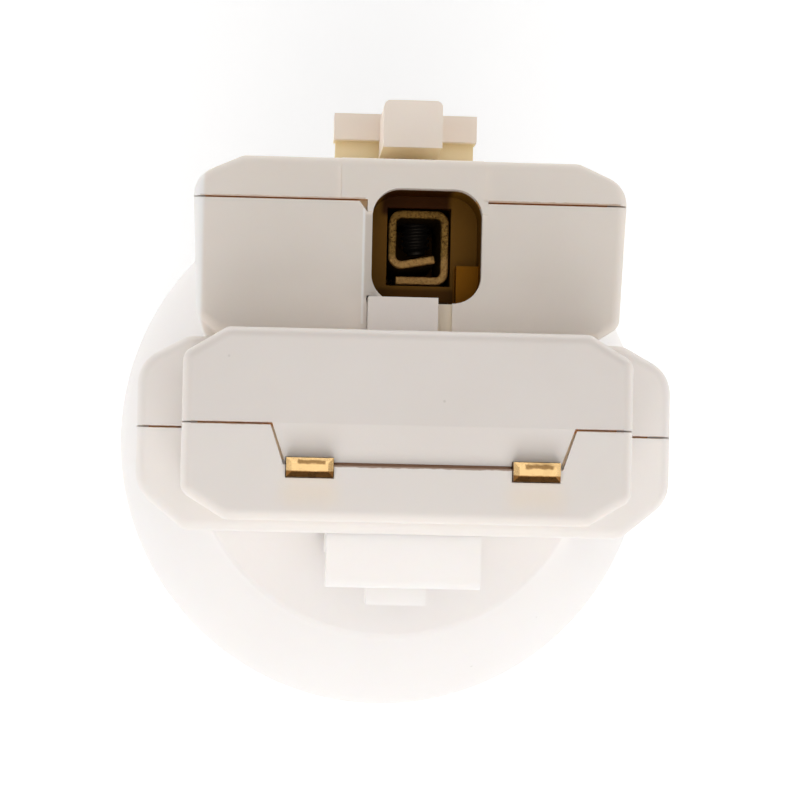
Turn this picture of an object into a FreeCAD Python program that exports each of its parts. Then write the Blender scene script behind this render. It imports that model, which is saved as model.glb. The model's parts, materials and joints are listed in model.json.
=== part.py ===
import FreeCAD
import Part
import Sketcher
import math
import os

# Plug-in lamp holder: an E27 holder with a flat luminaire plug on its back.
# It stands on the rim of its skirt. +Z runs along the lamp axis towards the plug, X along the
# plug's width, +Y towards the earth block. The origin is the centre of the lamp thread's mouth.

SIZES = [
    # skirt, dome and lamp side
    ("rim_drop", 2.0, "skirt rim below the thread's mouth"),
    ("seam_height", 28.0, "joint between skirt and dome"),
    ("skirt_radius", 20.5, "outside of the skirt at the seam"),
    ("rim_draw", 0.4, "skirt narrower at its rim than at the seam"),
    ("skirt_wall", 1.9, "wall of the skirt"),
    ("lip_reach", 0.7, "lip inside the rim that holds the insert"),
    ("lip_thick", 1.9, "height of that lip"),
    ("crown_height", 43.25, "flat crown of the dome"),
    ("crown_edge", 2.17, "edge of the crown beyond the snap barbs"),
    ("dome_wall", 2.0, "wall of the dome and its crown"),
    ("spigot_length", 3.5, "dome spigot inside the skirt"),
    ("spigot_wall", 1.6, "wall of that spigot"),
    ("seat_land", 1.0, "width of the seat for the contact base"),
    ("seat_thick", 1.5, "height of that seat"),
    ("fit_gap", 0.1, "clearance of a moulding in its seat"),
    ("thread_radius", 13.35, "wall of the lamp thread"),
    ("thread_length", 18.0, "length of that wall"),
    ("chamber_radius", 14.2, "chamber behind the thread"),
    ("base_height", 25.0, "lamp side of the contact base"),
    ("base_thick", 3.5, "thickness of the contact base"),
    ("insert_wall", 1.2, "wall of the insert at the chamber"),
    ("flange_thick", 1.6, "mouth flange of the insert"),
    # plug block and collar
    ("plug_length", 28.5, "crown to the front of the plug block"),
    ("block_half_width", 14.62, "half width of the plug block"),
    ("block_half_height", 6.25, "half height of the plug block"),
    ("block_chamfer_x", 2.85, "corner of the block, along X"),
    ("block_chamfer_y", 1.75, "corner of the block, along Y"),
    ("collar_step", 12.4, "block front to collar front"),
    ("collar_centre", 0.35, "collar's middle, along X"),
    ("collar_half_width", 18.37, "half width of the collar"),
    ("collar_top", 6.28, "top face of the collar"),
    ("collar_bottom", 7.05, "underside of the collar, below the axis"),
    ("collar_chamfer_x", 3.33, "corner of the collar, along X"),
    ("collar_top_chamfer", 1.83, "top corner of the collar, along Y"),
    ("collar_low_chamfer", 2.75, "bottom corner of the collar, along Y"),
    ("collar_taper_x", 4.2, "collar ends drawn in at the crown, along X"),
    ("collar_taper_z", 7.0, "height of that taper"),
    ("joint_gap", 0.06, "half the joint line between the shells"),
    ("joint_depth", 0.8, "depth of the joint line"),
    ("tongue_centre", 1.03, "middle of the tongue and of the blades, along X"),
    ("tongue_cheek", 0.04, "tongue's end beside a blade's groove"),
    ("tongue_flare", 0.86, "spread of the tongue from its end up to the joint"),
    ("tongue_depth", 2.42, "tongue below the joint"),
    ("tongue_gap", 0.2, "joint line under the tongue"),
    ("tongue_slope", 0.45, "set-back of the tongue's end"),
    ("stem_side", 0.795, "stem through the crown, beyond the tongue"),
    ("stem_half_height", 5.2, "half height of that stem"),
    ("stem_length", 3.6, "stem below the crown"),
    ("barb_reach", 0.9, "snap barb beyond the stem"),
    ("barb_root", 0.5, "root of the barb in the stem"),
    ("barb_land", 0.4, "flat end of the barb"),
    ("barb_half_height", 3.6, "half width of the barb, along Y"),
    ("key_centre", -0.2, "middle of the key on the block, along X"),
    ("key_width", 4.67, "width of the key"),
    ("key_top", 8.83, "top of the key"),
    ("key_step", 6.3, "block front to key front"),
    ("key_length", 7.0, "length of the key"),
    # blades
    ("blade_half_pitch", 7.33, "half the distance between the blades"),
    ("blade_width", 3.05, "width of a blade"),
    ("blade_thick", 1.26, "thickness of a blade"),
    ("blade_drop", 2.79, "middle of a blade below the joint"),
    ("blade_proud", 0.9, "blade tip in front of the block"),
    ("blade_bevel", 0.35, "bevel of the tip"),
    ("blade_clear", 0.05, "clearance round a blade"),
    ("foot_reach", 2.2, "foot of a blade above the joint"),
    ("foot_out", 2.7, "foot of a blade beyond its shank"),
    ("rivet_reach", 9.33, "rivets, from the middle of the tongue"),
    # earth block
    ("earth_step", 8.0, "block front to earth block front"),
    ("earth_centre", 0.27, "earth block's middle, along X"),
    ("earth_half_width", 14.66, "half width of the earth block at the joint"),
    ("earth_draft", 0.37, "each side drawn in at the bottom"),
    ("earth_joint", 15.5, "joint between body and cover"),
    ("earth_top", 18.33, "top of the cover"),
    ("earth_low_chamfer_x", 1.55, "bottom corner, along X"),
    ("earth_low_chamfer_y", 1.0, "bottom corner, along Y"),
    ("cover_chamfer_x", 3.28, "top corner of the cover, along X"),
    ("cover_chamfer_y", 1.46, "top corner of the cover, along Y"),
    ("opening_centre", 1.39, "middle of the opening, along X"),
    ("opening_half_width", 3.71, "half width of the opening"),
    ("opening_low", 8.59, "bottom of the opening"),
    ("opening_high", 16.29, "top of the opening"),
    ("opening_round", 1.9, "corner radius of the opening"),
    ("opening_corner", 0.9, "tight lower corner of the opening"),
    ("opening_depth", 5.0, "depth of the opening"),
    ("arch_leg", 0.35, "thickness of the cover's legs beside the opening"),
    ("arch_drop", 0.85, "legs below the joint"),
    ("arch_notch", 0.55, "relief of the body beside the left leg"),
    ("panel_centre", 0.36, "middle of the cover's raised panel, along X"),
    ("panel_half_width", 4.81, "half width of that panel"),
    ("panel_proud", 0.22, "panel in front of the cover"),
    ("slot_centre", 0.28, "middle of the key's slot, along X"),
    ("slot_width", 5.8, "width of that slot"),
    ("slot_top", 9.0, "top of the slot"),
    ("ledge_width", 1.5, "ledge in the opening, along X"),
    ("ledge_root", 0.3, "root of the ledge in the walls of the opening"),
    ("ledge_top", 11.4, "top of the ledge"),
    ("ledge_depth", 3.2, "depth of the opening over the ledge"),
    # earth contact
    ("box_left", -1.03, "left side of the box contact"),
    ("box_width", 4.22, "width of the box contact"),
    ("box_low", 10.19, "underside of the box contact"),
    ("box_height", 5.2, "height of the box contact"),
    ("box_sheet", 0.6, "sheet of the box contact"),
    ("box_bend", 0.55, "bends of the box contact"),
    ("box_tongue", 0.96, "its turned-in tongue above its floor"),
    ("box_tongue_rise", 0.54, "rise of that tongue towards its end"),
    ("box_tongue_short", 0.72, "end of that tongue, from the box's side"),
    ("box_length", 11.0, "length of the box contact"),
    ("box_clear", 0.1, "clearance round the box contact"),
    ("box_recess", 0.2, "box contact below the floor of the opening"),
    ("screw_radius", 1.0, "earth screw"),
    ("screw_back", 4.6, "front of the box to the screw's axis"),
    ("screw_end", 12.6, "lower end of the earth screw"),
    ("screw_top", 15.4, "upper end of the earth screw"),
    # latches
    ("latch_centre", 0.3, "middle of both latches' arms, along X"),
    ("pivot_rise", 2.95, "latch pivots, above the crown"),
    ("pivot_radius", 0.8, "pivot stub"),
    ("pivot_clear", 0.04, "clearance of a stub in its ear"),
    ("barrel_radius", 1.1, "latch round its pivot"),
    ("ear_over", 0.935, "top latch's ears above its pivot"),
    ("heel_half_width", 3.5, "half width of a latch at its pivot"),
    ("heel_length", 2.6, "narrow part of a latch"),
    ("ear_thick", 1.2, "thickness of an ear"),
    ("ear_gap", 0.08, "latch to ear, and stub to outside"),
    ("ear_half_length", 1.6, "half length of an ear"),
    ("top_pivot", 19.6, "pivot of the top latch, along Y"),
    ("top_arm_low", 19.65, "underside of the top latch's arm"),
    ("top_arm_high", 21.05, "top of its arm"),
    ("top_arm_half_width", 4.95, "half width of its arm"),
    ("arm_front_rise", 7.5, "front of its arm, above the crown"),
    ("lip_back_rise", 6.35, "back of the thumb lip, above the crown"),
    ("lip_front_rise", 9.1, "front of the thumb lip, over the arm's front, above the crown"),
    ("lip_under", 0.1, "thumb lip's underside below the top of the arm"),
    ("lip_half_width", 5.09, "half width of the thumb lip"),
    ("lip_high", 22.82, "top of the lip and of the nose"),
    ("nose_centre", 0.48, "middle of the top nose, along X"),
    ("nose_half_width", 2.03, "half width of the top nose"),
    ("nose_low", 19.57, "underside of the top nose"),
    ("nose_rise", 16.7, "front of the top nose, above the crown"),
    ("nose_round", 0.45, "rounded edges of the top nose"),
    ("low_pivot", 7.6, "pivot of the bottom latch, below the axis"),
    ("low_arm_high", 6.8, "inner face of the bottom latch's arm"),
    ("low_arm_low", 8.4, "outer face of its arm"),
    ("low_nose_centre", 0.6, "middle of the bottom nose, along X"),
    ("low_nose_half_width", 5.38, "half width of the bottom nose"),
    ("low_nose_high", 6.2, "inner face of the bottom nose"),
    ("low_nose_low", 10.8, "outer face of the bottom nose"),
    ("low_nose_length", 2.6, "length of the bottom nose"),
    ("low_nose_round", 0.5, "rounded edge of the bottom nose"),
    ("low_tab_half_width", 2.12, "half width of the bottom thumb tab"),
    ("low_tab_low", 12.1, "outer end of that tab"),
    ("tab_back_rise", 6.65, "back of that tab, above the crown"),
    ("tab_front_rise", 9.1, "front of that tab, above the crown"),
    ("notch_gap", 0.35, "bottom nose to the sides of its pocket in the collar"),
    ("notch_lip", 2.4, "collar front that closes this pocket"),
    ("nose_gap", 0.15, "bottom nose to that front"),
    ("notch_top", 4.85, "floor of this pocket, below the axis"),
    ("spring_sheet", 0.25, "sheet of a latch spring"),
    ("spring_width", 3.0, "width of a latch spring"),
    ("spring_length", 3.4, "length of a latch spring, without its tail"),
    ("spring_tail", 0.4, "tail of a latch spring, on the arm"),
    ("spring_foot", 1.36, "foot of a latch spring, on the moulding"),
    ("spring_bend", 0.6, "bends of a latch spring"),
    # lamp contacts
    ("strip_sheet", 0.5, "sheet of the lamp contacts"),
    ("strip_bend", 1.0, "bends of the lamp contacts"),
    ("centre_width", 6.0, "width of the centre contact"),
    ("centre_bend", 5.9, "bend of the centre contact, from the axis"),
    ("centre_tail", 10.6, "tail of the centre contact, from the axis"),
    ("centre_pad", 2.0, "half length of its flat pad"),
    ("centre_reach", 3.4, "centre contact beyond the axis"),
    ("centre_drop", 3.6, "its end below the contact base"),
    ("tip_radius", 1.9, "contact tip"),
    ("tip_height", 0.8, "contact tip below its strip"),
    ("tip_shank", 0.9, "shank of the contact tip"),
    ("tip_clear", 0.02, "clearance round that shank"),
    ("tip_flare", 0.4, "spread and height of its closed end"),
    ("tip_flat", 1.14, "flat of the tip's dome"),
    ("shell_width", 5.0, "width of the shell contact"),
    ("shell_inner", 8.2, "inner end of the shell contact's tail"),
    ("shell_out", 13.3, "its leg, from the axis"),
    ("shell_bow", 0.95, "bow of that leg, towards the lamp"),
    ("shell_straight", 1.6, "straight start of that leg"),
    ("shell_crest", 3.84, "crest of its bow, below the contact base"),
    ("shell_drop", 6.4, "length of that leg"),
    ("rivet_radius", 1.1, "rivet"),
    ("rivet_head", 1.8, "rivet head"),
    ("rivet_head_thick", 0.5, "thickness of a rivet head"),
    ("edge_round", 0.5, "moulded edges"),
    ("sink", 0.5, "how far an added block is sunk into what carries it"),
    ("front_round", 0.7, "front edges of the plug's mouldings"),
    ("block_corner", 0.9, "upright corners of the plug block"),
    ("collar_corner", 2.5, "upright corners at the collar's ends"),
    ("collar_flat_corner", 1.2, "its other upright corners"),
    ("cover_corner", 2.0, "upright corners at the cover's ends"),
]


class Size:
    """A length that is known as a number and as an expression over the sheet."""

    def __init__(self, text, value):
        self.text = text
        self.value = value

    def joined(self, sign, other, value):
        return Size("(%s %s %s)" % (self.text, sign, other.text), value)

    def __add__(self, other):
        other = size(other)
        return self.joined("+", other, self.value + other.value)

    def __sub__(self, other):
        other = size(other)
        return self.joined("-", other, self.value - other.value)

    def __mul__(self, other):
        other = size(other)
        return self.joined("*", other, self.value * other.value)

    def __truediv__(self, other):
        other = size(other)
        return self.joined("/", other, self.value / other.value)

    def __neg__(self):
        return Size("(0 - %s)" % self.text, -self.value)

    def __radd__(self, other):
        return size(other) + self

    def __rsub__(self, other):
        return size(other) - self

    def root(self):
        return Size("sqrt(%s)" % self.text, math.sqrt(self.value))


def size(number):
    if isinstance(number, Size):
        return number
    return Size("%.6f" % number, float(number))


class Table:
    """The driving dimensions, kept in the document's spreadsheet."""

    def __init__(self, document):
        sheet = document.addObject("Spreadsheet::Sheet", "Sizes")
        for row, (name, value, meaning) in enumerate(SIZES, 1):
            sheet.set("A%d" % row, name)
            sheet.set("B%d" % row, "%g" % value)
            sheet.setAlias("B%d" % row, name)
            sheet.set("C%d" % row, meaning)
            setattr(self, name, Size("Sizes.%s" % name, value))
        self.sheet = sheet


doc = FreeCAD.newDocument("LampHolder")
s = Table(doc)
doc.recompute()

# Heights that several pieces share.
plug_front = s.crown_height + s.plug_length
collar_front = plug_front - s.collar_step
earth_front = plug_front - s.earth_step
opening_floor = earth_front - s.opening_depth
stem_end = s.crown_height - s.dome_wall - s.stem_length
base_top = s.base_height + s.base_thick
pivot_height = s.crown_height + s.pivot_rise
top_arm_front = s.crown_height + s.arm_front_rise
lip_back = s.crown_height + s.lip_back_rise
lip_front = s.crown_height + s.lip_front_rise
nose_front = s.crown_height + s.nose_rise
low_tab_back = s.crown_height + s.tab_back_rise
low_tab_front = s.crown_height + s.tab_front_rise

# Widths that follow from a neighbour's.
tongue_half_end = s.blade_half_pitch + s.blade_width / 2 + s.blade_clear + s.tongue_cheek
tongue_half_top = tongue_half_end + s.tongue_flare
stem_half_width = tongue_half_top + s.stem_side
crown_radius = s.tongue_centre + stem_half_width + s.barb_reach + s.crown_edge
skirt_bore = s.skirt_radius - s.skirt_wall
rim_radius = s.skirt_radius - s.rim_draw
lip_radius = skirt_bore - s.lip_reach
spigot_bore = skirt_bore - s.fit_gap - s.spigot_wall
seat_radius = spigot_bore - s.seat_land


# ---------------------------------------------------------------- sketches and features

def new_body(label):
    body = doc.addObject("PartDesign::Body", "Body_" + label)
    body.Label = label
    return body


def bind(thing, path, length):
    thing.setExpression(path, length.text)


def new_sketch(body, name, plane, offset=None):
    """A sketch on the body's own XY, XZ or YZ plane. XZ faces -Y, so its offset is -Y."""
    role = plane + "_Plane"
    support = [item for item in body.Origin.OriginFeatures if item.Role == role][0]
    sketch = body.newObject("Sketcher::SketchObject", name)
    sketch.AttachmentSupport = [(support, "")]
    sketch.MapMode = "FlatFace"
    if offset is not None:
        bind(sketch, "AttachmentOffset.Base.z", size(offset))
    return sketch


def constrain(sketch, kind, length, *where):
    number = sketch.addConstraint(Sketcher.Constraint(kind, *where, length.value))
    bind(sketch, "Constraints[%d]" % number, length)


def fix_point(sketch, geometry, end, point):
    """Ties one end of a line to its distances from the origin."""
    constrain(sketch, "DistanceX", size(point[0]), -1, 1, geometry, end)
    constrain(sketch, "DistanceY", size(point[1]), -1, 1, geometry, end)


def flat(point):
    return FreeCAD.Vector(size(point[0]).value, size(point[1]).value, 0)


def outline(body, name, plane, points, offset=None):
    """A closed polygon, each corner tied to the sheet."""
    sketch = new_sketch(body, name, plane, offset)
    count = len(points)
    for index, point in enumerate(points):
        following = points[(index + 1) % count]
        sketch.addGeometry(Part.LineSegment(flat(point), flat(following)), False)
    for index in range(count):
        sketch.addConstraint(Sketcher.Constraint("Coincident", index, 2, (index + 1) % count, 1))
    for index, point in enumerate(points):
        fix_point(sketch, index, 1, point)
    return sketch


def round_rectangle(body, name, plane, x_low, x_high, y_low, y_high, radii, offset=None):
    """A rectangle with its own radius at each corner, from the lower left anticlockwise."""
    corners = [(x_low, y_low), (x_high, y_low), (x_high, y_high), (x_low, y_high)]
    inward = [(1, 1), (-1, 1), (-1, -1), (1, -1)]
    first_angle = [180, 270, 0, 90]
    sketch = new_sketch(body, name, plane, offset)
    for index in range(4):
        side = corners[index], corners[(index + 1) % 4]
        along = 0 if index % 2 == 0 else 1
        ends = []
        for point, way, radius in ((side[0], inward[index], radii[index]),
                                   (side[1], inward[(index + 1) % 4], radii[(index + 1) % 4])):
            shifted = list(point)
            shifted[along] = size(point[along]) + size(radius) * way[along]
            ends.append(shifted)
        sketch.addGeometry(Part.LineSegment(flat(ends[0]), flat(ends[1])), False)
        fix_point(sketch, index, 1, ends[0])
        fix_point(sketch, index, 2, ends[1])
    for index in range(4):
        corner = flat(corners[index])
        radius = size(radii[index]).value
        centre = corner + FreeCAD.Vector(*inward[index], 0) * radius
        circle = Part.Circle(centre, FreeCAD.Vector(0, 0, 1), radius)
        start = math.radians(first_angle[index])
        arc = sketch.addGeometry(Part.ArcOfCircle(circle, start, start + math.pi / 2), False)
        sketch.addConstraint(Sketcher.Constraint("Tangent", (index + 3) % 4, 2, arc, 1))
        sketch.addConstraint(Sketcher.Constraint("Coincident", arc, 2, index, 1))
    return sketch


def circles(body, name, plane, places, radius, offset=None):
    sketch = new_sketch(body, name, plane, offset)
    for place in places:
        circle = Part.Circle(flat(place), FreeCAD.Vector(0, 0, 1), radius.value)
        number = sketch.addGeometry(circle, False)
        fix_point(sketch, number, 3, place)
        constrain(sketch, "Radius", radius, number)
    return sketch


def pad(body, sketch, length, middle=False, backwards=False):
    feature = body.newObject("PartDesign::Pad", sketch.Name + "_pad")
    feature.Profile = sketch
    bind(feature, "Length", size(length))
    feature.Midplane = middle
    feature.Reversed = backwards
    return feature


def pocket(body, sketch, length, middle=False, backwards=False):
    feature = body.newObject("PartDesign::Pocket", sketch.Name + "_pocket")
    feature.Profile = sketch
    bind(feature, "Length", size(length))
    feature.Midplane = middle
    feature.Reversed = backwards
    return feature


def revolve(body, sketch):
    feature = body.newObject("PartDesign::Revolution", sketch.Name + "_turned")
    feature.Profile = sketch
    feature.ReferenceAxis = (sketch, ["V_Axis"])
    feature.Angle = 360
    return feature


def level_pad(body, name, points, low, high):
    """A prism between two heights, from its outline in plan."""
    return pad(body, outline(body, name, "XY", points, low), size(high) - low)


def level_cut(body, name, points, low, high):
    """A prismatic cut between two heights, from its outline in plan."""
    return pocket(body, outline(body, name, "XY", points, high), size(high) - low)


def round_edges(body, name, radius, wanted):
    """Fillets the edges whose end points all satisfy the test."""
    doc.recompute()
    base = body.Tip
    names = []
    for number, edge in enumerate(base.Shape.Edges, 1):
        if wanted(edge):
            names.append("Edge%d" % number)
    feature = body.newObject("PartDesign::Fillet", name)
    feature.Base = (base, names)
    bind(feature, "Radius", size(radius))
    doc.recompute()
    return feature


def all_at(axis, place, within=1e-4):
    """A test for edges that lie in the plane where one coordinate has this value."""
    def test(edge):
        return all(abs(getattr(v.Point, axis) - size(place).value) < within for v in edge.Vertexes)
    return test


def box_points(x_low, x_high, y_low, y_high):
    return [(x_low, y_low), (x_high, y_low), (x_high, y_high), (x_low, y_high)]


# ---------------------------------------------------------------- skirt, dome, insert, base

def make_skirt():
    body = new_body("skirt")
    points = [
        (lip_radius, -s.rim_drop),
        (rim_radius, -s.rim_drop),
        (s.skirt_radius, s.seam_height),
        (skirt_bore, s.seam_height),
        (skirt_bore, s.lip_thick - s.rim_drop),
        (lip_radius, s.lip_thick - s.rim_drop),
    ]
    revolve(body, outline(body, "skirt_profile", "XZ", points))
    round_edges(body, "rim_round", s.edge_round, all_at("z", -s.rim_drop))


def make_dome():
    """Spigot, rounded shoulder and flat crown. The shoulder is an arc that leaves the skirt
    upright and ends at the crown's edge; the inner face is the same arc, one wall smaller."""
    body = new_body("dome")
    rise = s.crown_height - s.seam_height
    inset = s.skirt_radius - crown_radius
    radius = (inset * inset + rise * rise) / (inset * 2)
    middle = s.skirt_radius - radius
    inner = radius - s.dome_wall
    under = s.crown_height - s.dome_wall
    seat_top = base_top + s.seat_thick
    under_x = middle + (inner * inner - (under - s.seam_height) * (under - s.seam_height)).root()
    seat_rise = seat_top - s.seam_height
    seat_x = middle + (inner * inner - seat_rise * seat_rise).root()
    spigot = skirt_bore - s.fit_gap
    corners = [
        (crown_radius, s.crown_height), (0, s.crown_height), (0, under), (under_x, under),
        (seat_x, seat_top), (seat_radius, seat_top), (seat_radius, base_top),
        (spigot_bore, base_top), (spigot_bore, s.seam_height - s.spigot_length),
        (spigot, s.seam_height - s.spigot_length), (spigot, s.seam_height),
        (s.skirt_radius, s.seam_height),
    ]
    arcs = {3: inner, 11: radius}
    sketch = new_sketch(body, "dome_profile", "XZ")
    centre = FreeCAD.Vector(middle.value, s.seam_height.value, 0)
    count = len(corners)
    for index, corner in enumerate(corners):
        following = corners[(index + 1) % count]
        if index in arcs:
            circle = Part.Circle(centre, FreeCAD.Vector(0, 0, 1), arcs[index].value)
            angles = []
            for point in (corner, following):
                away = flat(point) - centre
                angles.append(math.atan2(away.y, away.x))
            sketch.addGeometry(Part.ArcOfCircle(circle, min(angles), max(angles)), False)
        else:
            sketch.addGeometry(Part.LineSegment(flat(corner), flat(following)), False)
    for index, corner in enumerate(corners):
        before = (index - 1) % count
        here, there = (2 if index == 3 else 1), (1 if before == 3 else 2)
        sketch.addConstraint(Sketcher.Constraint("Coincident", before, there, index, here))
        if index not in arcs:
            fix_point(sketch, index, 1, corner)
    constrain(sketch, "DistanceX", corners[3][0], -1, 1, 2, 2)
    constrain(sketch, "DistanceY", size(corners[3][1]), -1, 1, 2, 2)
    constrain(sketch, "DistanceX", corners[11][0], -1, 1, 10, 2)
    constrain(sketch, "DistanceY", corners[11][1], -1, 1, 10, 2)
    constrain(sketch, "DistanceY", s.seam_height, -1, 1, 11, 3)
    constrain(sketch, "DistanceY", s.seam_height, -1, 1, 3, 3)
    revolve(body, sketch)
    half = stem_half_width + s.fit_gap
    tall = s.stem_half_height + s.fit_gap
    window = box_points(s.tongue_centre - half, s.tongue_centre + half, -tall, tall)
    level_cut(body, "crown_window", window, under - s.dome_wall, s.crown_height)
    round_edges(body, "crown_round", s.edge_round, lambda edge: len(edge.Vertexes) == 1
                and all_at("z", s.crown_height)(edge)
                and abs(edge.Vertexes[0].Point.Length
                        - math.hypot(crown_radius.value, s.crown_height.value)) < 1e-3)


def make_thread_insert():
    body = new_body("thread_insert")
    outside = s.chamber_radius + s.insert_wall
    flange = skirt_bore - s.fit_gap
    points = [
        (s.thread_radius, 0), (flange, 0), (flange, s.flange_thick), (outside, s.flange_thick),
        (outside, s.base_height), (s.chamber_radius, s.base_height),
        (s.chamber_radius, s.thread_length), (s.thread_radius, s.thread_length),
    ]
    revolve(body, outline(body, "insert_profile", "XZ", points))


def rivet_places():
    return [(s.tongue_centre - s.rivet_reach, 0), (s.tongue_centre + s.rivet_reach, 0)]


def make_contact_base():
    body = new_body("contact_base")
    disc = circles(body, "base_disc", "XY", [(0, 0)], spigot_bore - s.fit_gap, s.base_height)
    pad(body, disc, s.base_thick)
    holes = circles(body, "rivet_holes", "XY", rivet_places(), s.rivet_radius + s.blade_clear, base_top)
    pocket(body, holes, s.base_thick)


# ---------------------------------------------------------------- plug shells

def lower_joint(gap, end_gap):
    """The lower shell's side of the joint, right to left: the notch and the blade grooves."""
    far = s.blade_half_pitch + s.blade_width / 2 + s.blade_clear
    near = s.blade_half_pitch - s.blade_width / 2 - s.blade_clear
    floor = -s.tongue_depth - end_gap
    groove = -s.blade_drop - s.blade_thick / 2 - s.blade_clear
    top, end = tongue_half_top + gap * 2, tongue_half_end + gap * 2
    half = [(top, -gap), (end, floor), (far, floor), (far, groove), (near, groove), (near, floor)]
    right = [(s.tongue_centre + x, y) for x, y in half]
    left = [(s.tongue_centre - x, y) for x, y in reversed(half)]
    return right + left


def upper_joint(gap):
    """The upper shell's side of the joint, left to right: the tongue and the blade grooves."""
    far = s.blade_half_pitch + s.blade_width / 2 + s.blade_clear
    near = s.blade_half_pitch - s.blade_width / 2 - s.blade_clear
    floor = -s.tongue_depth
    groove = -s.blade_drop + s.blade_thick / 2 + s.blade_clear
    half = [(tongue_half_top, size(gap)), (tongue_half_end, floor), (far, floor), (far, groove),
            (near, groove), (near, floor)]
    left = [(s.tongue_centre - x, y) for x, y in half]
    right = [(s.tongue_centre + x, y) for x, y in reversed(half)]
    return left + right


def low_edge(centre, half, bottom, chamfer_x, chamfer_y, gap):
    """Outside of a lower shell in plan, left to right, with its two chamfered corners."""
    left, right = centre - half, centre + half
    return [(left, -gap), (left, chamfer_y - bottom), (left + chamfer_x, -bottom),
            (right - chamfer_x, -bottom), (right, chamfer_y - bottom), (right, -gap)]


def high_edge(centre, half, top, chamfer_x, chamfer_y, gap):
    """Outside of an upper shell in plan, right to left, with its two chamfered corners."""
    left, right = centre - half, centre + half
    return [(right, gap), (right, top - chamfer_y), (right - chamfer_x, top),
            (left + chamfer_x, top), (left, top - chamfer_y), (left, gap)]


def lower_outline(centre, half, bottom, chamfer_x, chamfer_y, gap, end_gap):
    return low_edge(centre, half, bottom, chamfer_x, chamfer_y, gap) + lower_joint(gap, end_gap)


def upper_outline(centre, half, top, chamfer_x, chamfer_y, gap):
    return high_edge(centre, half, top, chamfer_x, chamfer_y, gap) + upper_joint(gap)


def taper_collar(body):
    """Draws the collar's ends in towards the crown."""
    low = s.crown_height
    for name, side in (("left_taper", -1), ("right_taper", 1)):
        edge = s.collar_centre + s.collar_half_width * side
        points = [(edge + s.sink * side, low - s.sink),
                  (edge - s.collar_taper_x * side, low - s.sink),
                  (edge - s.collar_taper_x * side, low), (edge, low + s.collar_taper_z),
                  (edge + s.sink * side, low + s.collar_taper_z)]
        pocket(body, outline(body, name, "XZ", points), s.collar_bottom * 4, middle=True)


def round_front(body, name, corners, front):
    """Rounds the edges of a front face whose middles lie along the given corners of its plan,
    and no further from them than a rounded corner cuts in."""
    level = FreeCAD.Vector(0, 0, size(front).value)
    path = Part.makePolygon([flat(corner) + level for corner in corners])
    within = s.collar_corner.value / 4

    def wanted(edge):
        middle = edge.valueAt((edge.FirstParameter + edge.LastParameter) / 2)
        return all_at("z", front)(edge) and path.distToShape(Part.Vertex(middle))[0] < within
    round_edges(body, name, s.front_round, wanted)


def round_corners(body, name, radius, corners):
    """Rounds the upright edges that stand over the given corners of a plan."""
    places = [flat(corner) for corner in corners]

    def wanted(edge):
        ends = [FreeCAD.Vector(vertex.X, vertex.Y, 0) for vertex in edge.Vertexes]
        return len(ends) == 2 and any(all(end.distanceToPoint(place) < 1e-3 for end in ends)
                                      for place in places)
    round_edges(body, name, radius, wanted)


def round_outline(body, name, corners, end_radius, flat_radius):
    """Rounds the four upright corners of a low_edge or high_edge outline."""
    round_corners(body, name + "_ends", end_radius, [corners[1], corners[4]])
    round_corners(body, name + "_flats", flat_radius, corners[2:4])


def make_lower_shell():
    body = new_body("plug_lower_shell")
    nought = size(0)
    stem = [(s.tongue_centre - stem_half_width, nought),
            (s.tongue_centre - stem_half_width, -s.stem_half_height),
            (s.tongue_centre + stem_half_width, -s.stem_half_height),
            (s.tongue_centre + stem_half_width, nought)] + lower_joint(nought, nought)
    level_pad(body, "stem", stem, stem_end, s.crown_height)
    collar = (s.collar_centre, s.collar_half_width, s.collar_bottom, s.collar_chamfer_x,
              s.collar_low_chamfer)
    block = (nought, s.block_half_width, s.block_half_height, s.block_chamfer_x, s.block_chamfer_y)
    joint_foot = collar_front - s.joint_depth
    level_pad(body, "collar", lower_outline(*collar, nought, nought), s.crown_height, joint_foot)
    level_pad(body, "collar_front", lower_outline(*collar, s.joint_gap, nought),
              joint_foot, collar_front)
    level_pad(body, "block", lower_outline(*block, nought, nought), joint_foot,
              plug_front - s.joint_depth)
    level_pad(body, "block_front", lower_outline(*block, s.joint_gap, s.tongue_gap),
              plug_front - s.joint_depth, plug_front)
    round_outline(body, "block_corners", low_edge(*block, s.joint_gap), s.block_corner, s.block_corner)
    round_outline(body, "collar_corners", low_edge(*collar, s.joint_gap), s.collar_corner,
                  s.collar_flat_corner)
    round_front(body, "block_round", low_edge(*block, s.joint_gap), plug_front)
    round_front(body, "collar_round", low_edge(*collar, s.joint_gap), collar_front)
    taper_collar(body)
    half = s.low_nose_half_width + s.notch_gap
    notch = box_points(s.low_nose_centre - half, s.low_nose_centre + half, -s.low_tab_low,
                       -s.notch_top)
    level_cut(body, "latch_notch", notch, s.crown_height, collar_front - s.notch_lip)
    add_barbs(body, -s.barb_half_height, nought)
    add_ears(body, -s.low_pivot, -s.low_pivot - s.barrel_radius, -s.notch_top)
    return body


def add_barbs(body, y_low, y_high):
    """Snap barbs at both ends of the stem, just below the crown."""
    catch = s.crown_height - s.dome_wall - s.fit_gap
    for name, side in (("left_barb", -1), ("right_barb", 1)):
        edge = s.tongue_centre + stem_half_width * side
        root = edge - s.barb_root * side
        crest = edge + s.barb_reach * side
        points = [(root, catch), (crest, catch), (crest, catch - s.barb_land),
                  (edge, catch - s.barb_reach * 2), (root, catch - s.barb_reach * 2)]
        sketch = outline(body, name, "XZ", points, -y_high)
        pad(body, sketch, y_high - y_low)


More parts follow.
